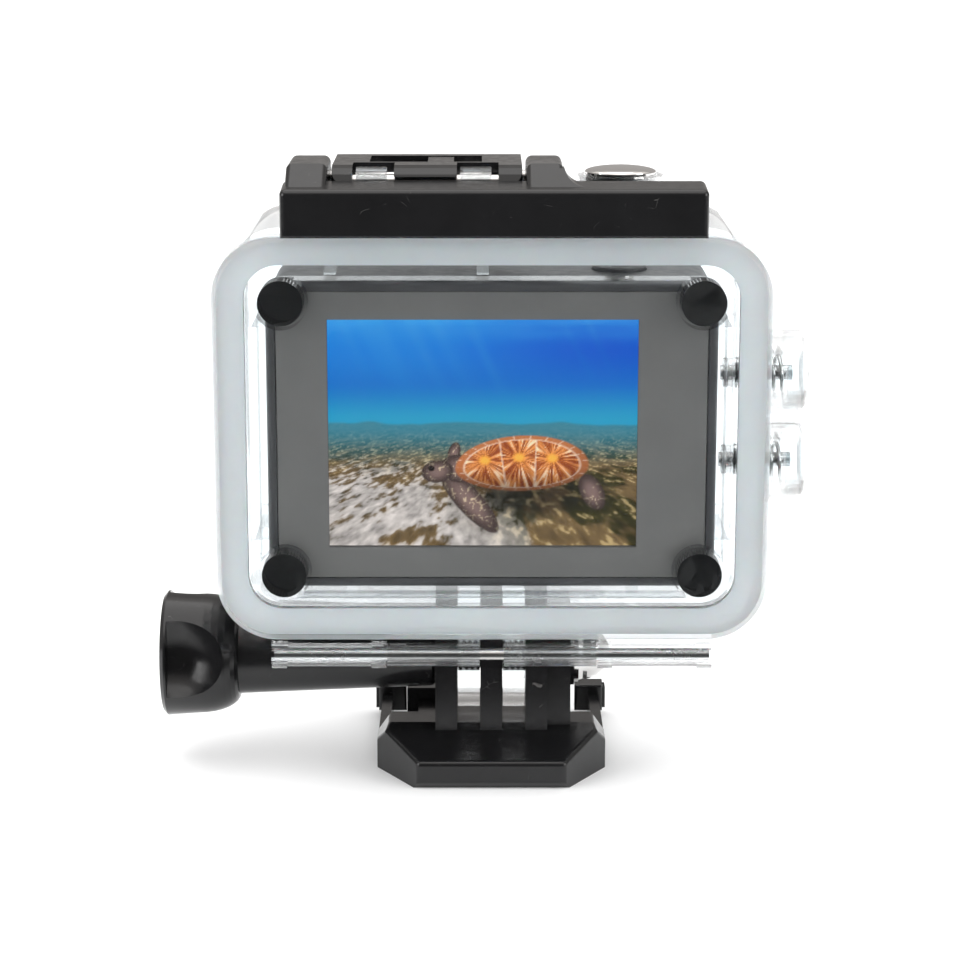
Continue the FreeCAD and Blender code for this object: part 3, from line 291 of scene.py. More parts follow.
class EffectGroups:
    """The shared effects, each built once as a shader node group."""

    SMUDGE_BROAD = 70.0
    SMUDGE_FINE = 900.0
    SMUDGE_SPAN = (0.16, 0.38)
    BEND_SCALE = 90.0
    BEND_REACH = 0.005
    LINE_SPAN = (0.002, 0.007)
    LINE_STRENGTH = 0.6
    PATCH_SCALE = 330.0
    PATCH_SPAN = (0.61, 0.68)

    def __init__(self) -> None:
        """Build every group."""
        self.groups = {Effect.GRAIN: self._grain(), Effect.SMUDGE: self._smudge(),
                       Effect.BRUSH: self._brush(), Effect.SCRATCH: self._scratch()}

    @staticmethod
    def _start(effect: Effect, inputs: dict[str, float], outputs: list[str]) -> tuple:
        """Empty group with float inputs and outputs, and a coordinate input.

        Args:
            effect: Which effect the group is.
            inputs: Each float input's name and default.
            outputs: The float outputs' names.

        Returns:
            The tree, its input node and its output node.
        """
        tree = bpy.data.node_groups.new(effect.value, "ShaderNodeTree")
        tree.interface.new_socket("Vector", in_out="INPUT", socket_type="NodeSocketVector")
        for name, value in inputs.items():
            socket = tree.interface.new_socket(name, in_out="INPUT", socket_type="NodeSocketFloat")
            socket.default_value = value
        for name in outputs:
            tree.interface.new_socket(name, in_out="OUTPUT", socket_type="NodeSocketFloat")
        return tree, tree.nodes.new("NodeGroupInput"), tree.nodes.new("NodeGroupOutput")

    @staticmethod
    def _noise(tree: Tree, vector: Socket, scale: float, detail: float,
               roughness: float = 0.5) -> Socket:
        """Noise texture's value on a coordinate.

        Args:
            tree: The node tree that gets the node.
            vector: Where the noise is read.
            scale: Cells per metre.
            detail: How many finer noises are added.
            roughness: Weight of each finer noise against the last.

        Returns:
            The noise's value.
        """
        node = tree.nodes.new("ShaderNodeTexNoise")
        node.inputs["Scale"].default_value = scale
        node.inputs["Detail"].default_value = detail
        node.inputs["Roughness"].default_value = roughness
        tree.links.new(vector, node.inputs["Vector"])
        return node.outputs["Fac"]

    def _grain(self) -> Tree:
        """Height of a moulded surface's fine spark-eroded grain."""
        tree, start, end = self._start(Effect.GRAIN, {"Scale": 9000.0}, ["Height"])
        noise = tree.nodes.new("ShaderNodeTexNoise")
        noise.inputs["Detail"].default_value = 3.0
        tree.links.new(start.outputs["Vector"], noise.inputs["Vector"])
        tree.links.new(start.outputs["Scale"], noise.inputs["Scale"])
        tree.links.new(noise.outputs["Fac"], end.inputs["Height"])
        return tree

    def _smudge(self) -> Tree:
        """Roughness with faint handling smudges: Low where clean, High where touched."""
        tree, start, end = self._start(Effect.SMUDGE, {"Low": 0.1, "High": 0.2}, ["Roughness"])
        broad = self._noise(tree, start.outputs["Vector"], self.SMUDGE_BROAD, 3.0, 0.6)
        fine = self._noise(tree, start.outputs["Vector"], self.SMUDGE_FINE, 2.0)
        both = math_node(tree, "MULTIPLY", broad, fine)
        mask = map_range(tree, both, self.SMUDGE_SPAN, (0.0, 1.0))
        mix = tree.nodes.new("ShaderNodeMapRange")
        tree.links.new(mask, mix.inputs["Value"])
        tree.links.new(start.outputs["Low"], mix.inputs["To Min"])
        tree.links.new(start.outputs["High"], mix.inputs["To Max"])
        tree.links.new(mix.outputs["Result"], end.inputs["Roughness"])
        return tree

    def _brush(self) -> Tree:
        """Height of fine turning marks round the X axis of a part."""
        tree, start, end = self._start(Effect.BRUSH, {"Scale": 2500.0}, ["Height"])
        split = tree.nodes.new("ShaderNodeSeparateXYZ")
        join = tree.nodes.new("ShaderNodeCombineXYZ")
        tree.links.new(start.outputs["Vector"], split.inputs[0])
        tree.links.new(split.outputs["X"], join.inputs["X"])
        noise = tree.nodes.new("ShaderNodeTexNoise")
        noise.inputs["Detail"].default_value = 4.0
        tree.links.new(join.outputs[0], noise.inputs["Vector"])
        tree.links.new(start.outputs["Scale"], noise.inputs["Scale"])
        tree.links.new(noise.outputs["Fac"], end.inputs["Height"])
        return tree

    def _scratch(self) -> Tree:
        """Mask of sparse hairlines: the thin borders of large cells, kept in a few patches."""
        tree, start, end = self._start(Effect.SCRATCH, {"Scale": 260.0}, ["Mask"])
        bend = tree.nodes.new("ShaderNodeTexNoise")
        bend.inputs["Scale"].default_value = self.BEND_SCALE
        tree.links.new(start.outputs["Vector"], bend.inputs["Vector"])
        shift = tree.nodes.new("ShaderNodeVectorMath")
        shift.operation = "MULTIPLY_ADD"
        shift.inputs[1].default_value = (self.BEND_REACH,) * 3
        tree.links.new(bend.outputs["Color"], shift.inputs[0])
        tree.links.new(start.outputs["Vector"], shift.inputs[2])
        cells = tree.nodes.new("ShaderNodeTexVoronoi")
        cells.feature = "DISTANCE_TO_EDGE"
        tree.links.new(shift.outputs[0], cells.inputs["Vector"])
        tree.links.new(start.outputs["Scale"], cells.inputs["Scale"])
        line = map_range(tree, cells.outputs["Distance"], self.LINE_SPAN, (self.LINE_STRENGTH, 0.0))
        patches = self._noise(tree, start.outputs["Vector"], self.PATCH_SCALE, 3.0, 0.7)
        patches = map_range(tree, patches, self.PATCH_SPAN, (0.0, 1.0))
        tree.links.new(math_node(tree, "MULTIPLY", line, patches), end.inputs["Mask"])
        return tree


# ---- Finishes ----
@dataclass(frozen=True)
class Finish:
    """One surface finish and the numbers that its shader needs."""

    name: str
    colour: Colour
    metallic: float = 0.0
    smooth_low: float = 0.1
    smooth_high: float = 0.2
    colour_shift: float = 0.12
    shift_scale: float = 160.0
    grain: float = 0.0
    grain_scale: float = 9000.0
    scratches: float = 0.0
    line_colour: Colour = (0.2, 0.2, 0.2)
    coat: float = 0.0
    specular: float = 0.5
    ior: float = 1.5
    transmission: float = 0.0
    alpha: float = 1.0
    subsurface: float = 0.0
    brushed: bool = False
    edge_facing: Span = (0.06, 0.18)
    edge_bend: Span = (0.03, 1.0)

    def make(self, effects: EffectGroups) -> bpy.types.Material:
        """Material with a Principled shader fed by the shared effects.

        Args:
            effects: The shared node groups.

        Returns:
            The new material.
        """
        material = bpy.data.materials.new(self.name)
        material.use_nodes = True
        tree = material.node_tree
        shader = tree.nodes["Principled BSDF"]
        shader.inputs["Base Color"].default_value = (*self.colour, 1.0)
        shader.inputs["Metallic"].default_value = self.metallic
        shader.inputs["IOR"].default_value = self.ior
        shader.inputs["Transmission Weight"].default_value = self.transmission
        shader.inputs["Alpha"].default_value = self.alpha
        shader.inputs["Coat Weight"].default_value = self.coat
        shader.inputs["Coat Roughness"].default_value = COAT_ROUGHNESS
        shader.inputs["Specular IOR Level"].default_value = self.specular
        if self.subsurface:
            shader.inputs["Subsurface Weight"].default_value = self.subsurface
            shader.inputs["Subsurface Scale"].default_value = SUBSURFACE_REACH
        where = tree.nodes.new("ShaderNodeTexCoord").outputs["Object"]
        smudge = self._group(tree, effects, Effect.SMUDGE, where,
                             {"Low": self.smooth_low, "High": self.smooth_high})
        tree.links.new(smudge.outputs["Roughness"], shader.inputs["Roughness"])
        if not self.transmission:
            self._colour_nodes(tree, effects, shader, where)
        if self.grain:
            effect = Effect.BRUSH if self.brushed else Effect.GRAIN
            grain = self._group(tree, effects, effect, where, {"Scale": self.grain_scale})
            bump = tree.nodes.new("ShaderNodeBump")
            bump.inputs["Distance"].default_value = self.grain * MM
            bump.inputs["Strength"].default_value = BUMP_STRENGTH
            tree.links.new(grain.outputs["Height"], bump.inputs["Height"])
            tree.links.new(bump.outputs["Normal"], shader.inputs["Normal"])
        if self.transmission:
            self._flat_clear(tree, shader)
        return material

    def _flat_clear(self, tree: Tree, shader: bpy.types.Node) -> None:
        """Let flat walls that face the eye be seen straight through, and bend light at the edges.

        Args:
            tree: The material's nodes.
            shader: The shader that bends light.
        """
        straight = tree.nodes.new("ShaderNodeBsdfTransparent")
        straight.inputs["Color"].default_value = (*self.colour, 1.0)
        facing = tree.nodes.new("ShaderNodeLayerWeight").outputs["Facing"]
        edge = map_range(tree, facing, self.edge_facing, self.edge_bend, SMOOTHSTEP)
        mix = tree.nodes.new("ShaderNodeMixShader")
        tree.links.new(edge, mix.inputs[0])
        tree.links.new(straight.outputs[0], mix.inputs[1])
        tree.links.new(shader.outputs[0], mix.inputs[2])
        tree.links.new(mix.outputs[0], tree.nodes["Material Output"].inputs["Surface"])

    @staticmethod
    def _group(tree: Tree, effects: EffectGroups, effect: Effect, where: Socket,
               values: dict[str, float]) -> bpy.types.Node:
        """Shared effect placed in a material with its own values.

        Args:
            tree: The material's nodes.
            effects: The shared node groups.
            effect: Which effect is placed.
            where: The coordinate that it reads.
            values: Numbers for its inputs, by name.

        Returns:
            The group's node.
        """
        node = tree.nodes.new("ShaderNodeGroup")
        node.node_tree = effects.groups[effect]
        tree.links.new(where, node.inputs["Vector"])
        for name, value in values.items():
            node.inputs[name].default_value = value
        return node

    def _colour_nodes(self, tree: Tree, effects: EffectGroups, shader: bpy.types.Node,
                      where: Socket) -> None:
        """Base colour that drifts a little over the surface, with sparse hairlines on top.

        Args:
            tree: The material's nodes.
            effects: The shared node groups.
            shader: The shader that gets the colour.
            where: The coordinate that the colour reads.
        """
        noise = tree.nodes.new("ShaderNodeTexNoise")
        noise.inputs["Scale"].default_value = self.shift_scale
        noise.inputs["Detail"].default_value = 4.0
        tree.links.new(where, noise.inputs["Vector"])
        ramp = tree.nodes.new("ShaderNodeValToRGB")
        dark = tuple(c * (1.0 - self.colour_shift) for c in self.colour)
        light = tuple(min(1.0, c * (1.0 + self.colour_shift)) for c in self.colour)
        ramp.color_ramp.elements[0].position = 0.3
        ramp.color_ramp.elements[1].position = 0.7
        ramp.color_ramp.elements[0].color = (*dark, 1.0)
        ramp.color_ramp.elements[1].color = (*light, 1.0)
        tree.links.new(noise.outputs["Fac"], ramp.inputs["Fac"])
        colour = ramp.outputs["Color"]
        if self.scratches:
            lines = self._group(tree, effects, Effect.SCRATCH, where, {"Scale": self.scratches})
            colour = self._over(tree, colour, lines.outputs["Mask"])
        tree.links.new(colour, shader.inputs["Base Color"])

    def _over(self, tree: Tree, colour: Socket, mask: Socket) -> Socket:
        """Hairline colour laid over another by a mask.

        Args:
            tree: The material's nodes.
            colour: The colour below.
            mask: Share of the hairline colour.

        Returns:
            The mixed colour.
        """
        mix = tree.nodes.new("ShaderNodeMix")
        mix.data_type = "RGBA"
        tree.links.new(mask, mix.inputs["Factor"])
        tree.links.new(colour, mix.inputs["A"])
        mix.inputs["B"].default_value = (*self.line_colour, 1.0)
        return mix.outputs["Result"]


FINISHES = {
    "black_gloss": Finish(
        "polished_black_moulding", (0.007, 0.007, 0.0075), smooth_low=0.16, smooth_high=0.26,
        grain=0.003, grain_scale=5000.0, line_colour=(0.14, 0.135, 0.13), scratches=420.0,
        specular=0.42),
    "chrome": Finish(
        "polished_chrome", (0.80, 0.79, 0.78), metallic=1.0, smooth_low=0.05, smooth_high=0.12,
        colour_shift=0.03),
    "steel": Finish(
        "turned_steel", (0.66, 0.65, 0.64), metallic=1.0, smooth_low=0.16, smooth_high=0.28,
        colour_shift=0.08, grain=0.004, grain_scale=3000.0, brushed=True),
    "clear_shell": Finish(
        "clear_polycarbonate", (0.97, 0.99, 1.0), smooth_low=0.0, smooth_high=0.012, ior=1.45,
        transmission=1.0, alpha=0.6),
    "clear_cap": Finish(
        "clear_button_plastic", (0.95, 0.98, 0.99), smooth_low=0.0, smooth_high=0.02, ior=1.45,
        transmission=1.0, alpha=0.6),
    "white_silicone": Finish(
        "white_silicone", (0.88, 0.915, 0.93), smooth_low=0.35, smooth_high=0.5,
        colour_shift=0.02, subsurface=0.15),
    "black_rubber": Finish(
        "moulded_rubber", (0.036, 0.036, 0.036), smooth_low=0.5, smooth_high=0.7, grain=0.01),
    "port_glass": Finish(
        "coated_glass", (0.93, 0.97, 1.0), smooth_low=0.0, smooth_high=0.01, ior=1.5,
        transmission=1.0, alpha=0.5),
    "camera_shell": Finish(
        "charcoal_satin_plastic", (0.085, 0.084, 0.086), smooth_low=0.3, smooth_high=0.42,
        grain=0.01, grain_scale=6000.0),
    "camera_panel": Finish(
        "smoked_panel", (0.205, 0.198, 0.19), smooth_low=0.05, smooth_high=0.1,
        colour_shift=0.04, coat=0.2),
    "screen": Finish(
        "display_module", (0.02, 0.02, 0.022), smooth_low=0.1, smooth_high=0.15),
    "black_metal": Finish(
        "black_anodised", (0.015, 0.015, 0.016), metallic=0.6, smooth_low=0.25, smooth_high=0.4,
        grain=0.004),
    "circuit_board": Finish(
        "solder_mask", (0.012, 0.09, 0.04), smooth_low=0.3, smooth_high=0.45, colour_shift=0.4,
        shift_scale=900.0),
    "cell_wrap": Finish(
        "battery_sleeve", (0.15, 0.17, 0.2), smooth_low=0.3, smooth_high=0.4, grain=0.006),
    "black_plastic": Finish(
        "plain_black_plastic", (0.02, 0.02, 0.02), smooth_low=0.4, smooth_high=0.5, grain=0.01),
}


class Finishes:
    """Every material by its slot in the record."""

    def __init__(self) -> None:
        """Make each finish once."""
        effects = EffectGroups()
        self.by_slot = {slot: finish.make(effects) for slot, finish in FINISHES.items()}

    def clear_window(self, material: bpy.types.Material) -> None:
        """Make the smoked panel see-through in front of the lit screen.

        The panel's opacity is 1 outside a rectangle round the display module's glass, and
        the clear share inside it, from the larger of the two distances to its middle.

        Args:
            material: The panel's material.
        """
        low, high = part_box("lcd_panel")
        tree = material.node_tree
        split = tree.nodes.new("ShaderNodeSeparateXYZ")
        tree.links.new(tree.nodes.new("ShaderNodeTexCoord").outputs["Object"], split.inputs[0])
        edges = []
        for axis, name in ((0, "X"), (2, "Z")):
            middle = (low[axis] + high[axis]) / 2.0
            half = (high[axis] - low[axis]) / 2.0 - SCREEN_RIM
            shift = math_node(tree, "SUBTRACT", split.outputs[name], middle)
            edges.append(math_node(tree, "SUBTRACT", math_node(tree, "ABSOLUTE", shift), half))
        furthest = math_node(tree, "MAXIMUM", *edges)
        mask = map_range(tree, furthest, (-PANEL_EDGE, PANEL_EDGE), (PANEL_CLEAR, 1.0))
        tree.links.new(mask, tree.nodes["Principled BSDF"].inputs["Alpha"])

    def dress(self, frame: dict) -> None:
        """Give every CAD node the finish of its slot.

        Args:
            frame: The loaded frame.
        """
        self.clear_window(self.by_slot["camera_panel"])
        for part in frame["record"]["subparts"]:
            obj = frame["nodes"][part["node"]]
            obj.data.materials.clear()
            obj.data.materials.append(self.by_slot[part["material_slot"]])
            LOG.info("%s dressed as %s", part["node"], part["material_slot"])


# ---- Sub-assemblies ----
@dataclass(frozen=True)
class ReefPaint:
    """Colours of the reef picture, before its contrast is raised."""

    deep_left: Colour = (0.035, 0.36, 0.80)
    deep_right: Colour = (0.012, 0.21, 0.72)
    low_water: Colour = (0.07, 0.50, 0.70)
    mid_water: Colour = (0.02, 0.30, 0.70)
    ripple: Colour = (0.16, 0.56, 0.92)
    ray: Colour = (0.30, 0.72, 0.88)
    weed: Colour = (0.34, 0.25, 0.14)
    dark_weed: Colour = (0.12, 0.11, 0.045)
    coral: Colour = (0.62, 0.50, 0.30)
    sand: Colour = (0.68, 0.63, 0.60)
    haze: Colour = (0.12, 0.40, 0.50)
    skin: Colour = (0.34, 0.25, 0.23)
    skin_seam: Colour = (0.72, 0.60, 0.46)
    eye: Colour = (0.03, 0.02, 0.02)
    plate: Colour = (0.40, 0.13, 0.05)
    plate_streak: Colour = (0.80, 0.40, 0.16)
    plate_pale: Colour = (0.96, 0.80, 0.62)
    plate_heart: Colour = (0.95, 0.52, 0.14)
    shell_rim: Colour = (0.58, 0.27, 0.13)
    shell_seam: Colour = (0.92, 0.80, 0.68)


@dataclass
class ReefPicture:
    """Lit picture on the screen: a made-up reef, painted as one colour per vertex."""

    columns: int = 300
    rows: int = 225
    stand_off: float = 0.02 * MM
    glow: float = 1.0
    contrast: float = 1.5
    horizon: float = 1.3
    turtle: Span = (5.2, -4.6)
    shell_long: float = 8.8
    shell_short: float = 3.9
    rim_plates: float = 26.0
    paint: ReefPaint = ReefPaint()

    def build(self) -> None:
        """Grid in front of the display module, its colours in a vertex attribute."""
        low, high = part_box("lcd_panel")
        x = np.linspace(low[0] + SCREEN_RIM, high[0] - SCREEN_RIM, self.columns)
        z = np.linspace(low[2] + SCREEN_RIM, high[2] - SCREEN_RIM, self.rows)
        zz, xx = np.meshgrid(z, x, indexing="ij")
        points = np.stack([xx, np.full_like(xx, low[1] - self.stand_off), zz], axis=-1)
        faces = grid_faces(self.rows, self.columns).tolist()
        across = (xx - (x[0] + x[-1]) / 2.0) / MM
        up = (zz - (z[0] + z[-1]) / 2.0) / MM
        obj = mesh_piece("screen_picture", points, faces, self._material())
        rgb = self._colours(across, up).reshape(-1, 3)
        attribute = obj.data.color_attributes.new("picture", "FLOAT_COLOR", "POINT")
        attribute.data.foreach_set("color", np.hstack([rgb, np.ones((len(rgb), 1))]).ravel())
        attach(obj, "case")
        report(obj)

    def _material(self) -> bpy.types.Material:
        """Emitting material that shows the vertex colours.

        Returns:
            The new material.
        """
        material = bpy.data.materials.new("lit_picture")
        material.use_nodes = True
        tree = material.node_tree
        shader = tree.nodes["Principled BSDF"]
        shader.inputs["Base Color"].default_value = (0.01, 0.01, 0.012, 1.0)
        shader.inputs["Roughness"].default_value = 0.2
        shader.inputs["Emission Strength"].default_value = self.glow
        colour = tree.nodes.new("ShaderNodeVertexColor")
        colour.layer_name = "picture"
        tree.links.new(colour.outputs["Color"], shader.inputs["Emission Color"])
        return material

    def _colours(self, x: Array, y: Array) -> Array:
        """Picture's colours at points in millimetres from its centre.

        Args:
            x: Distances to the right.
            y: Distances up.

        Returns:
            One colour per point.
        """
        skyline = self.horizon + 0.9 * (fractal(x, x * 0.0, 5.0, 5) - 0.5)
        colour = blend(self._water(x, y), self._sea_bed(x, y), smooth(0.25, -0.25, y - skyline))
        return np.clip(self._turtle(x, y, colour), 0.0, 1.0) ** self.contrast

    def _water(self, x: Array, y: Array) -> Array:
        """Water that darkens upwards, then brightens to the surface, with slanted rays."""
        paint = self.paint
        up = (y - self.horizon) / 13.0
        deep = blend(paint.deep_left, paint.deep_right, smooth(-12.0, 18.0, x))
        colour = blend(paint.low_water, paint.mid_water, smooth(0.0, 0.45, up))
        colour = blend(colour, deep, smooth(0.25, 0.8, up))
        ripples = 0.35 + 0.65 * fractal(x * 0.4, y * 2.6, 2.6, 11)
        colour = blend(colour, paint.ripple, 0.8 * smooth(0.75, 1.1, up) * ripples)
        rays = smooth(0.5, 0.85, fractal(x + 0.5 * y, y * 0.05, 2.6, 23)) * smooth(0.1, 0.9, up)
        return blend(colour, paint.ray, 0.14 * rays)

    def _sea_bed(self, x: Array, y: Array) -> Array:
        """Weed, coral and sand, laid out on a floor seen in perspective."""
        paint = self.paint
        depth = np.clip((self.horizon + 0.6 - y) / 17.6, 0.02, 1.0)
        far = 1.0 / (depth + 0.12)
        floor_x, floor_y = x * far * 0.9, far * 14.0
        rough = fractal(floor_x, floor_y, 3.4, 41, 5)
        fine = fractal(floor_x, floor_y, 0.9, 61, 3)
        bed = blend(paint.weed, paint.dark_weed, smooth(0.44, 0.60, rough))
        bed = blend(bed, paint.coral, 0.7 * smooth(0.58, 0.74, fine))
        left = smooth(6.0, -13.0, x + 1.1 * (y + 6.0)) * smooth(-1.5, -7.0, y)
        patch = smooth(0.46, 0.58, rough * 0.6 + fine * 0.4 + 0.16 * left - 0.05)
        bed = blend(bed, paint.sand, left * patch)
        bed = bed * (0.45 + 1.05 * fine)[..., None]
        return blend(bed, paint.haze, 0.9 * (1.0 - smooth(0.04, 0.40, depth)))

    def _turtle(self, x: Array, y: Array, colour: Array) -> Array:
        """A plain turtle over a picture: shadow, scaly limbs and head, then a streaked shell.

        Args:
            x: Distances to the right.
            y: Distances up.
            colour: The picture below.

        Returns:
            The picture with the turtle.
        """
        paint = self.paint
        cx, cy = self.turtle
        shadow = smooth(1.3, 0.5, ellipse(x - cx - 1.2, y - cy + 3.9, 9.0, 2.6, 0.0))
        colour = colour * (1.0 - 0.6 * shadow)[..., None]
        seams = smooth(0.035, 0.012, np.abs(fractal(x * 1.2, y * 1.2, 1.0, 71, 2) - 0.5))
        skin = blend(paint.skin, paint.skin_seam, seams)
        # Front flipper, back flipper, far flipper, neck and head: place, two halves and turn.
        limbs = [(-7.0, -4.6, 5.6, 1.7, -0.85), (9.3, -3.4, 2.6, 1.5, -1.1),
                 (-9.0, 1.9, 1.5, 0.8, 1.3), (-8.2, -0.2, 2.6, 1.9, -0.1),
                 (-11.2, -0.6, 2.1, 1.5, 0.15)]
        for dx, dy, long_half, short_half, turn in limbs:
            shape = ellipse(x - cx - dx, y - cy - dy, long_half, short_half, turn)
            shade = (1.15 - 0.75 * smooth(0.2, 1.05, shape))[..., None]
            colour = blend(colour, skin * shade, smooth(1.04, 0.97, shape))
        eye = smooth(1.3, 0.8, ellipse(x - cx + 12.0, y - cy + 0.2, 0.42, 0.34, 0.0))
        colour = blend(colour, paint.eye, eye)
        flattened = (y - cy) * np.where(y > cy, 0.92, 1.22)
        ring = ellipse(x - cx, flattened, self.shell_long, self.shell_short, 0.04)
        return blend(colour, self._shell(x - cx, y - cy, ring), smooth(1.02, 0.985, ring))

    def _shell(self, x: Array, y: Array, ring: Array) -> Array:
        """Shell's colours: plates round three centres, rays from each, and a pale rim.

        Args:
            x: Distances to the right of the shell's centre.
            y: Distances above it.
            ring: Distance from the centre as a share of the shell's radius.

        Returns:
            One colour per point.
        """
        paint = self.paint
        centres = np.array([(-4.9, 0.9), (-0.4, 1.3), (4.0, 1.2)])
        far = np.stack([np.hypot((x - a) * 0.8, y - b) for a, b in centres])
        order = np.sort(far, axis=0)
        nearest = np.argmin(far, axis=0)
        angle = np.arctan2(y - centres[nearest, 1], x - centres[nearest, 0])
        rays = fractal(angle * 7.0 + 20.0 * nearest, order[0] * 0.25, 0.5, 83, 2)
        base = blend(paint.plate, paint.plate_streak, smooth(0.3, 0.6, rays))
        pale = 0.85 * smooth(0.60, 0.74, rays) * smooth(0.5, 2.2, order[0])
        base = blend(base, paint.plate_pale, pale)
        base = blend(base, paint.plate_heart, smooth(0.9, 0.3, order[0]))
        plate_seam = smooth(0.22, 0.06, order[1] - order[0])
        rim = smooth(0.86, 0.89, ring)
        around = np.arctan2(y / self.shell_short, x / self.shell_long) / (2.0 * math.pi)
        rim_cells = np.abs(((around * self.rim_plates) % 1.0) - 0.5)
        base = blend(base, paint.shell_rim, rim)
        seam = np.maximum(plate_seam * (1.0 - rim), smooth(0.025, 0.008, np.abs(ring - 0.875)))
        seam = np.maximum(seam, rim * smooth(0.44, 0.48, rim_cells))
        base = blend(base, paint.shell_seam, 0.55 * seam)
        shade = 1.2 - 0.65 * smooth(0.6, -3.2, y) - 0.25 * smooth(5.0, 9.0, x)
        return base * shade[..., None]


@dataclass
class ClampThread:
    """Rolled M5 thread of the clamp screw."""

    pitch: float = 0.8 * MM
    depth: float = 0.45 * MM
    around: int = 40
    steps_per_turn: int = 10
    flank: float = 0.42
    end_taper: float = 0.7 * MM
    root_taper: float = 0.2 * MM
    tapered_share: float = 0.82

    def build(self, material: bpy.types.Material) -> None:
        """Threaded rod in place of the plain one.

        The surface is radius(x, angle) = outer - depth * wave(x / pitch - angle / turn),
        where wave falls from 1 in the root to 0 on the flat crest, and the ends taper.

        Args:
            material: The rod's finish.
        """
        low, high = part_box("screw_rod")
        radius = (high[2] - low[2]) / 2.0
        mid_y, mid_z = (low[1] + high[1]) / 2.0, (low[2] + high[2]) / 2.0
        rows = int((high[0] - low[0]) / self.pitch * self.steps_per_turn)
        x = np.linspace(low[0], high[0], rows)
        angle = np.linspace(0.0, 2.0 * math.pi, self.around, endpoint=False)
        xx, aa = np.meshgrid(x, angle, indexing="ij")
        phase = (xx / self.pitch - aa / (2.0 * math.pi)) % 1.0
        groove = np.clip(1.0 - np.abs(phase - 0.5) / self.flank, 0.0, 1.0)
        taper = smooth(0.0, self.end_taper, high[0] - xx)
        taper = taper * smooth(0.0, self.root_taper, xx - low[0])
        r = (radius - self.depth * groove)
        r = r * (self.tapered_share + (1.0 - self.tapered_share) * taper)
        points = np.stack([xx, mid_y + r * np.cos(aa), mid_z + r * np.sin(aa)], axis=-1)
        faces = grid_faces(rows, self.around, wrap_columns=True)[:, ::-1].tolist()
        ring = list(range(self.around))
        faces.append(ring)
        faces.append([(rows - 1) * self.around + i for i in reversed(ring)])
        obj = mesh_piece("screw_thread", points, faces, material)
        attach(obj, "thumb_screw")
        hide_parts("screw_rod")
        report(obj)


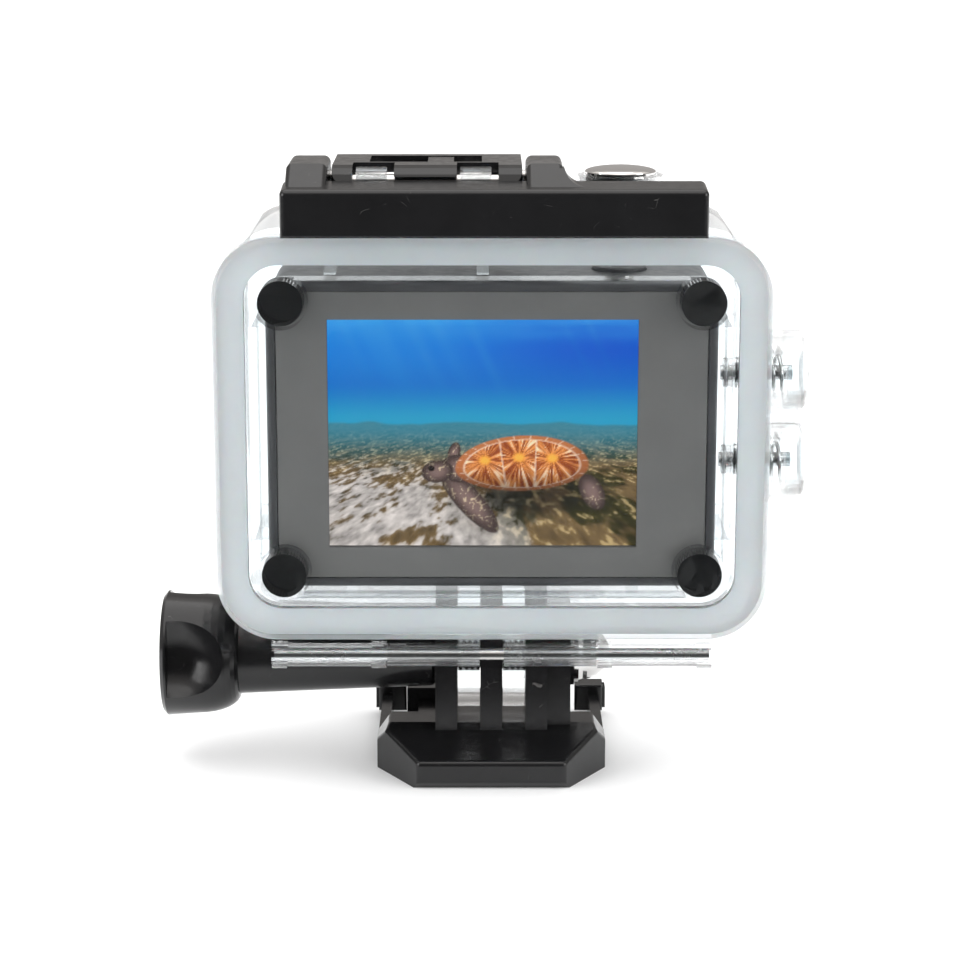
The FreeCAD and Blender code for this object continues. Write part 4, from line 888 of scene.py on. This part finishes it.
# ---- Studio ----
@dataclass
class Studio:
    """Pale floor, soft lights and the camera."""

    distance: float = 351.0 * MM
    tilt_deg: float = 13.0
    focal: float = 101.25
    aim_x: float = -1.56 * MM
    aim_below_door_centre: float = 4.8 * MM
    floor_half: float = 3.0
    near_gloss: float = 0.08
    far_gloss: float = 0.42
    top_gloss: float = 1.1
    near_through: float = 0.25
    far_through: float = 1.1
    side_share: float = 0.22
    even_strength: float = 1.15
    top_energy: float = 1.5
    top_angle_deg: float = 75.0
    side_energy: float = 1.6
    side_size: float = 0.35
    side_place: tuple[float, float, float] = (0.5, -0.28, 0.22)
    side_target: tuple[float, float, float] = (0.0, 0.0, 0.05)
    floor_grey: float = 0.93
    floor_roughness: float = 0.7
    floor_dim: Span = (-0.05, -0.02)
    warm_gloss: Colour = (1.0, 0.955, 0.92)

    def build(self) -> None:
        """Make the floor, the lights and the camera."""
        self._floor()
        self._world()
        self._lights()
        self._camera()

    def _camera(self) -> None:
        """Camera that looks down a little on the door's outer face."""
        low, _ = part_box("rear_door")
        gasket_low, gasket_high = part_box("door_gasket")
        aim_z = (gasket_low[2] + gasket_high[2]) / 2.0 - self.aim_below_door_centre
        target = (self.aim_x, low[1], aim_z)
        tilt = math.radians(self.tilt_deg)
        data = bpy.data.cameras.new("view_camera")
        data.lens = self.focal
        data.sensor_width = 36.0
        data.clip_start = 0.01
        camera = bpy.data.objects.new("view_camera", data)
        camera.location = (target[0], target[1] - self.distance * math.cos(tilt),
                           target[2] + self.distance * math.sin(tilt))
        camera.rotation_euler = (math.pi / 2.0 - tilt, 0.0, 0.0)
        bpy.context.scene.collection.objects.link(camera)
        bpy.context.scene.camera = camera

    def _floor(self) -> None:
        """Wide white floor, which gloss sees as dark on the near side, like the room."""
        material = bpy.data.materials.new("white_floor")
        material.use_nodes = True
        tree = material.node_tree
        shader = tree.nodes["Principled BSDF"]
        shader.inputs["Base Color"].default_value = (*(self.floor_grey,) * 3, 1.0)
        shader.inputs["Roughness"].default_value = self.floor_roughness
        dim = tree.nodes.new("ShaderNodeEmission")
        dim.inputs["Strength"].default_value = self.near_gloss
        split = tree.nodes.new("ShaderNodeSeparateXYZ")
        tree.links.new(tree.nodes.new("ShaderNodeTexCoord").outputs["Object"], split.inputs[0])
        near = map_range(tree, split.outputs["Y"], self.floor_dim, (1.0, 0.0), SMOOTHSTEP)
        glossy = tree.nodes.new("ShaderNodeLightPath").outputs["Is Glossy Ray"]
        seen = math_node(tree, "MULTIPLY", near, glossy)
        mix = tree.nodes.new("ShaderNodeMixShader")
        tree.links.new(seen, mix.inputs[0])
        tree.links.new(shader.outputs[0], mix.inputs[1])
        tree.links.new(dim.outputs[0], mix.inputs[2])
        tree.links.new(mix.outputs[0], tree.nodes["Material Output"].inputs["Surface"])
        h = self.floor_half
        points = np.array([[-h, -h, 0.0], [h, -h, 0.0], [h, h, 0.0], [-h, h, 0.0]])
        mesh_piece("studio_floor", points, [[0, 1, 2, 3]], material)

    def _world(self) -> None:
        """White room that gloss sees as darker on the near side.

        A glossy ray sees a dim warm room with a bright ceiling. A ray bent through clear
        plastic sees a bright far side (+Y), with darker flanks that draw the edges. Diffuse
        rays see an even room, and the camera sees plain white.
        """
        world = bpy.data.worlds.new("white_room")
        world.use_nodes = True
        tree = world.node_tree
        background = tree.nodes["Background"]
        where = tree.nodes.new("ShaderNodeTexCoord").outputs["Generated"]
        split = tree.nodes.new("ShaderNodeSeparateXYZ")
        tree.links.new(where, split.inputs[0])
        across, depth, up = split.outputs
        low = map_range(tree, depth, (-0.75, 0.35), (self.near_gloss, self.far_gloss), SMOOTHSTEP)
        high = map_range(tree, up, (0.4, 0.8), (0.0, self.top_gloss), SMOOTHSTEP)
        gloss = math_node(tree, "MAXIMUM", low, high)
        side = math_node(tree, "ABSOLUTE", across)
        flank = map_range(tree, side, (0.5, 0.85), (1.0, self.side_share), SMOOTHSTEP)
        ends = (self.near_through, self.far_through)
        through = map_range(tree, depth, (-0.7, 0.5), ends, SMOOTHSTEP)
        path = tree.nodes.new("ShaderNodeLightPath")
        clear = math_node(tree, "MULTIPLY", through, flank)
        bent = self._pick(tree, path.outputs["Is Glossy Ray"], clear, gloss)
        even = self._pick(tree, path.outputs["Is Diffuse Ray"], bent, self.even_strength)
        shown = self._pick(tree, path.outputs["Is Camera Ray"], even, 1.0)
        tree.links.new(shown, background.inputs["Strength"])
        tint = tree.nodes.new("ShaderNodeMix")
        tint.data_type = "RGBA"
        tint.inputs["A"].default_value = (1.0, 1.0, 1.0, 1.0)
        tint.inputs["B"].default_value = (*self.warm_gloss, 1.0)
        tree.links.new(path.outputs["Is Glossy Ray"], tint.inputs["Factor"])
        tree.links.new(tint.outputs["Result"], background.inputs["Color"])
        bpy.context.scene.world = world
        bpy.context.scene.view_settings.view_transform = "Standard"

    @staticmethod
    def _pick(tree: Tree, switch: Socket, other: Socket, chosen: float | Socket) -> Socket:
        """One of two values, by a switch.

        Args:
            tree: The node tree that gets the node.
            switch: 1 for the chosen value, 0 for the other.
            other: The other value.
            chosen: The chosen value.

        Returns:
            The picked value.
        """
        node = tree.nodes.new("ShaderNodeMix")
        tree.links.new(switch, node.inputs["Factor"])
        tree.links.new(other, node.inputs["A"])
        if isinstance(chosen, float):
            node.inputs["B"].default_value = chosen
        else:
            tree.links.new(chosen, node.inputs["B"])
        return node.outputs["Result"]

    def _lights(self) -> None:
        """Very soft light from above, and a soft panel at each side."""
        top = bpy.data.lights.new("top_light", "SUN")
        top.energy = self.top_energy
        top.angle = math.radians(self.top_angle_deg)
        self._place(top, (0.0, 0.1, 0.6), (0.0, 0.1, 0.0))
        x, y, z = self.side_place
        for name, place in (("left_panel", (-x, y, z)), ("right_panel", (x, y, z))):
            panel = bpy.data.lights.new(name, "AREA")
            panel.shape = "SQUARE"
            panel.size = self.side_size
            panel.energy = self.side_energy
            self._place(panel, place, self.side_target)

    @staticmethod
    def _place(data: bpy.types.Light, place: tuple[float, float, float],
               target: tuple[float, float, float]) -> None:
        """Link a light at a place, turned to a target.

        Args:
            data: The light.
            place: Where it stands.
            target: What it faces.
        """
        light = bpy.data.objects.new(data.name, data)
        light.location = place
        light.rotation_euler = aim(np.array(target) - np.array(place))
        bpy.context.scene.collection.objects.link(light)


def aim(direction: Array) -> tuple[float, float, float]:
    """Euler angles that turn -Z to a direction.

    Args:
        direction: The direction, of any length.

    Returns:
        Angles about X, Y and Z, in radians.
    """
    x, y, z = direction / np.linalg.norm(direction)
    if abs(z) >= STRAIGHT_DOWN:
        return (0.0, 0.0, 0.0)
    return (math.acos(-z), 0.0, math.atan2(x, -y) + math.pi)


def main() -> None:
    """Build the looks in order."""
    logging.basicConfig(level=logging.INFO, format="%(message)s")
    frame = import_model()
    finishes = Finishes()
    finishes.dress(frame)
    ReefPicture().build()
    ClampThread().build(finishes.by_slot["steel"])
    Studio().build()


if __name__ == "__main__":
    main()
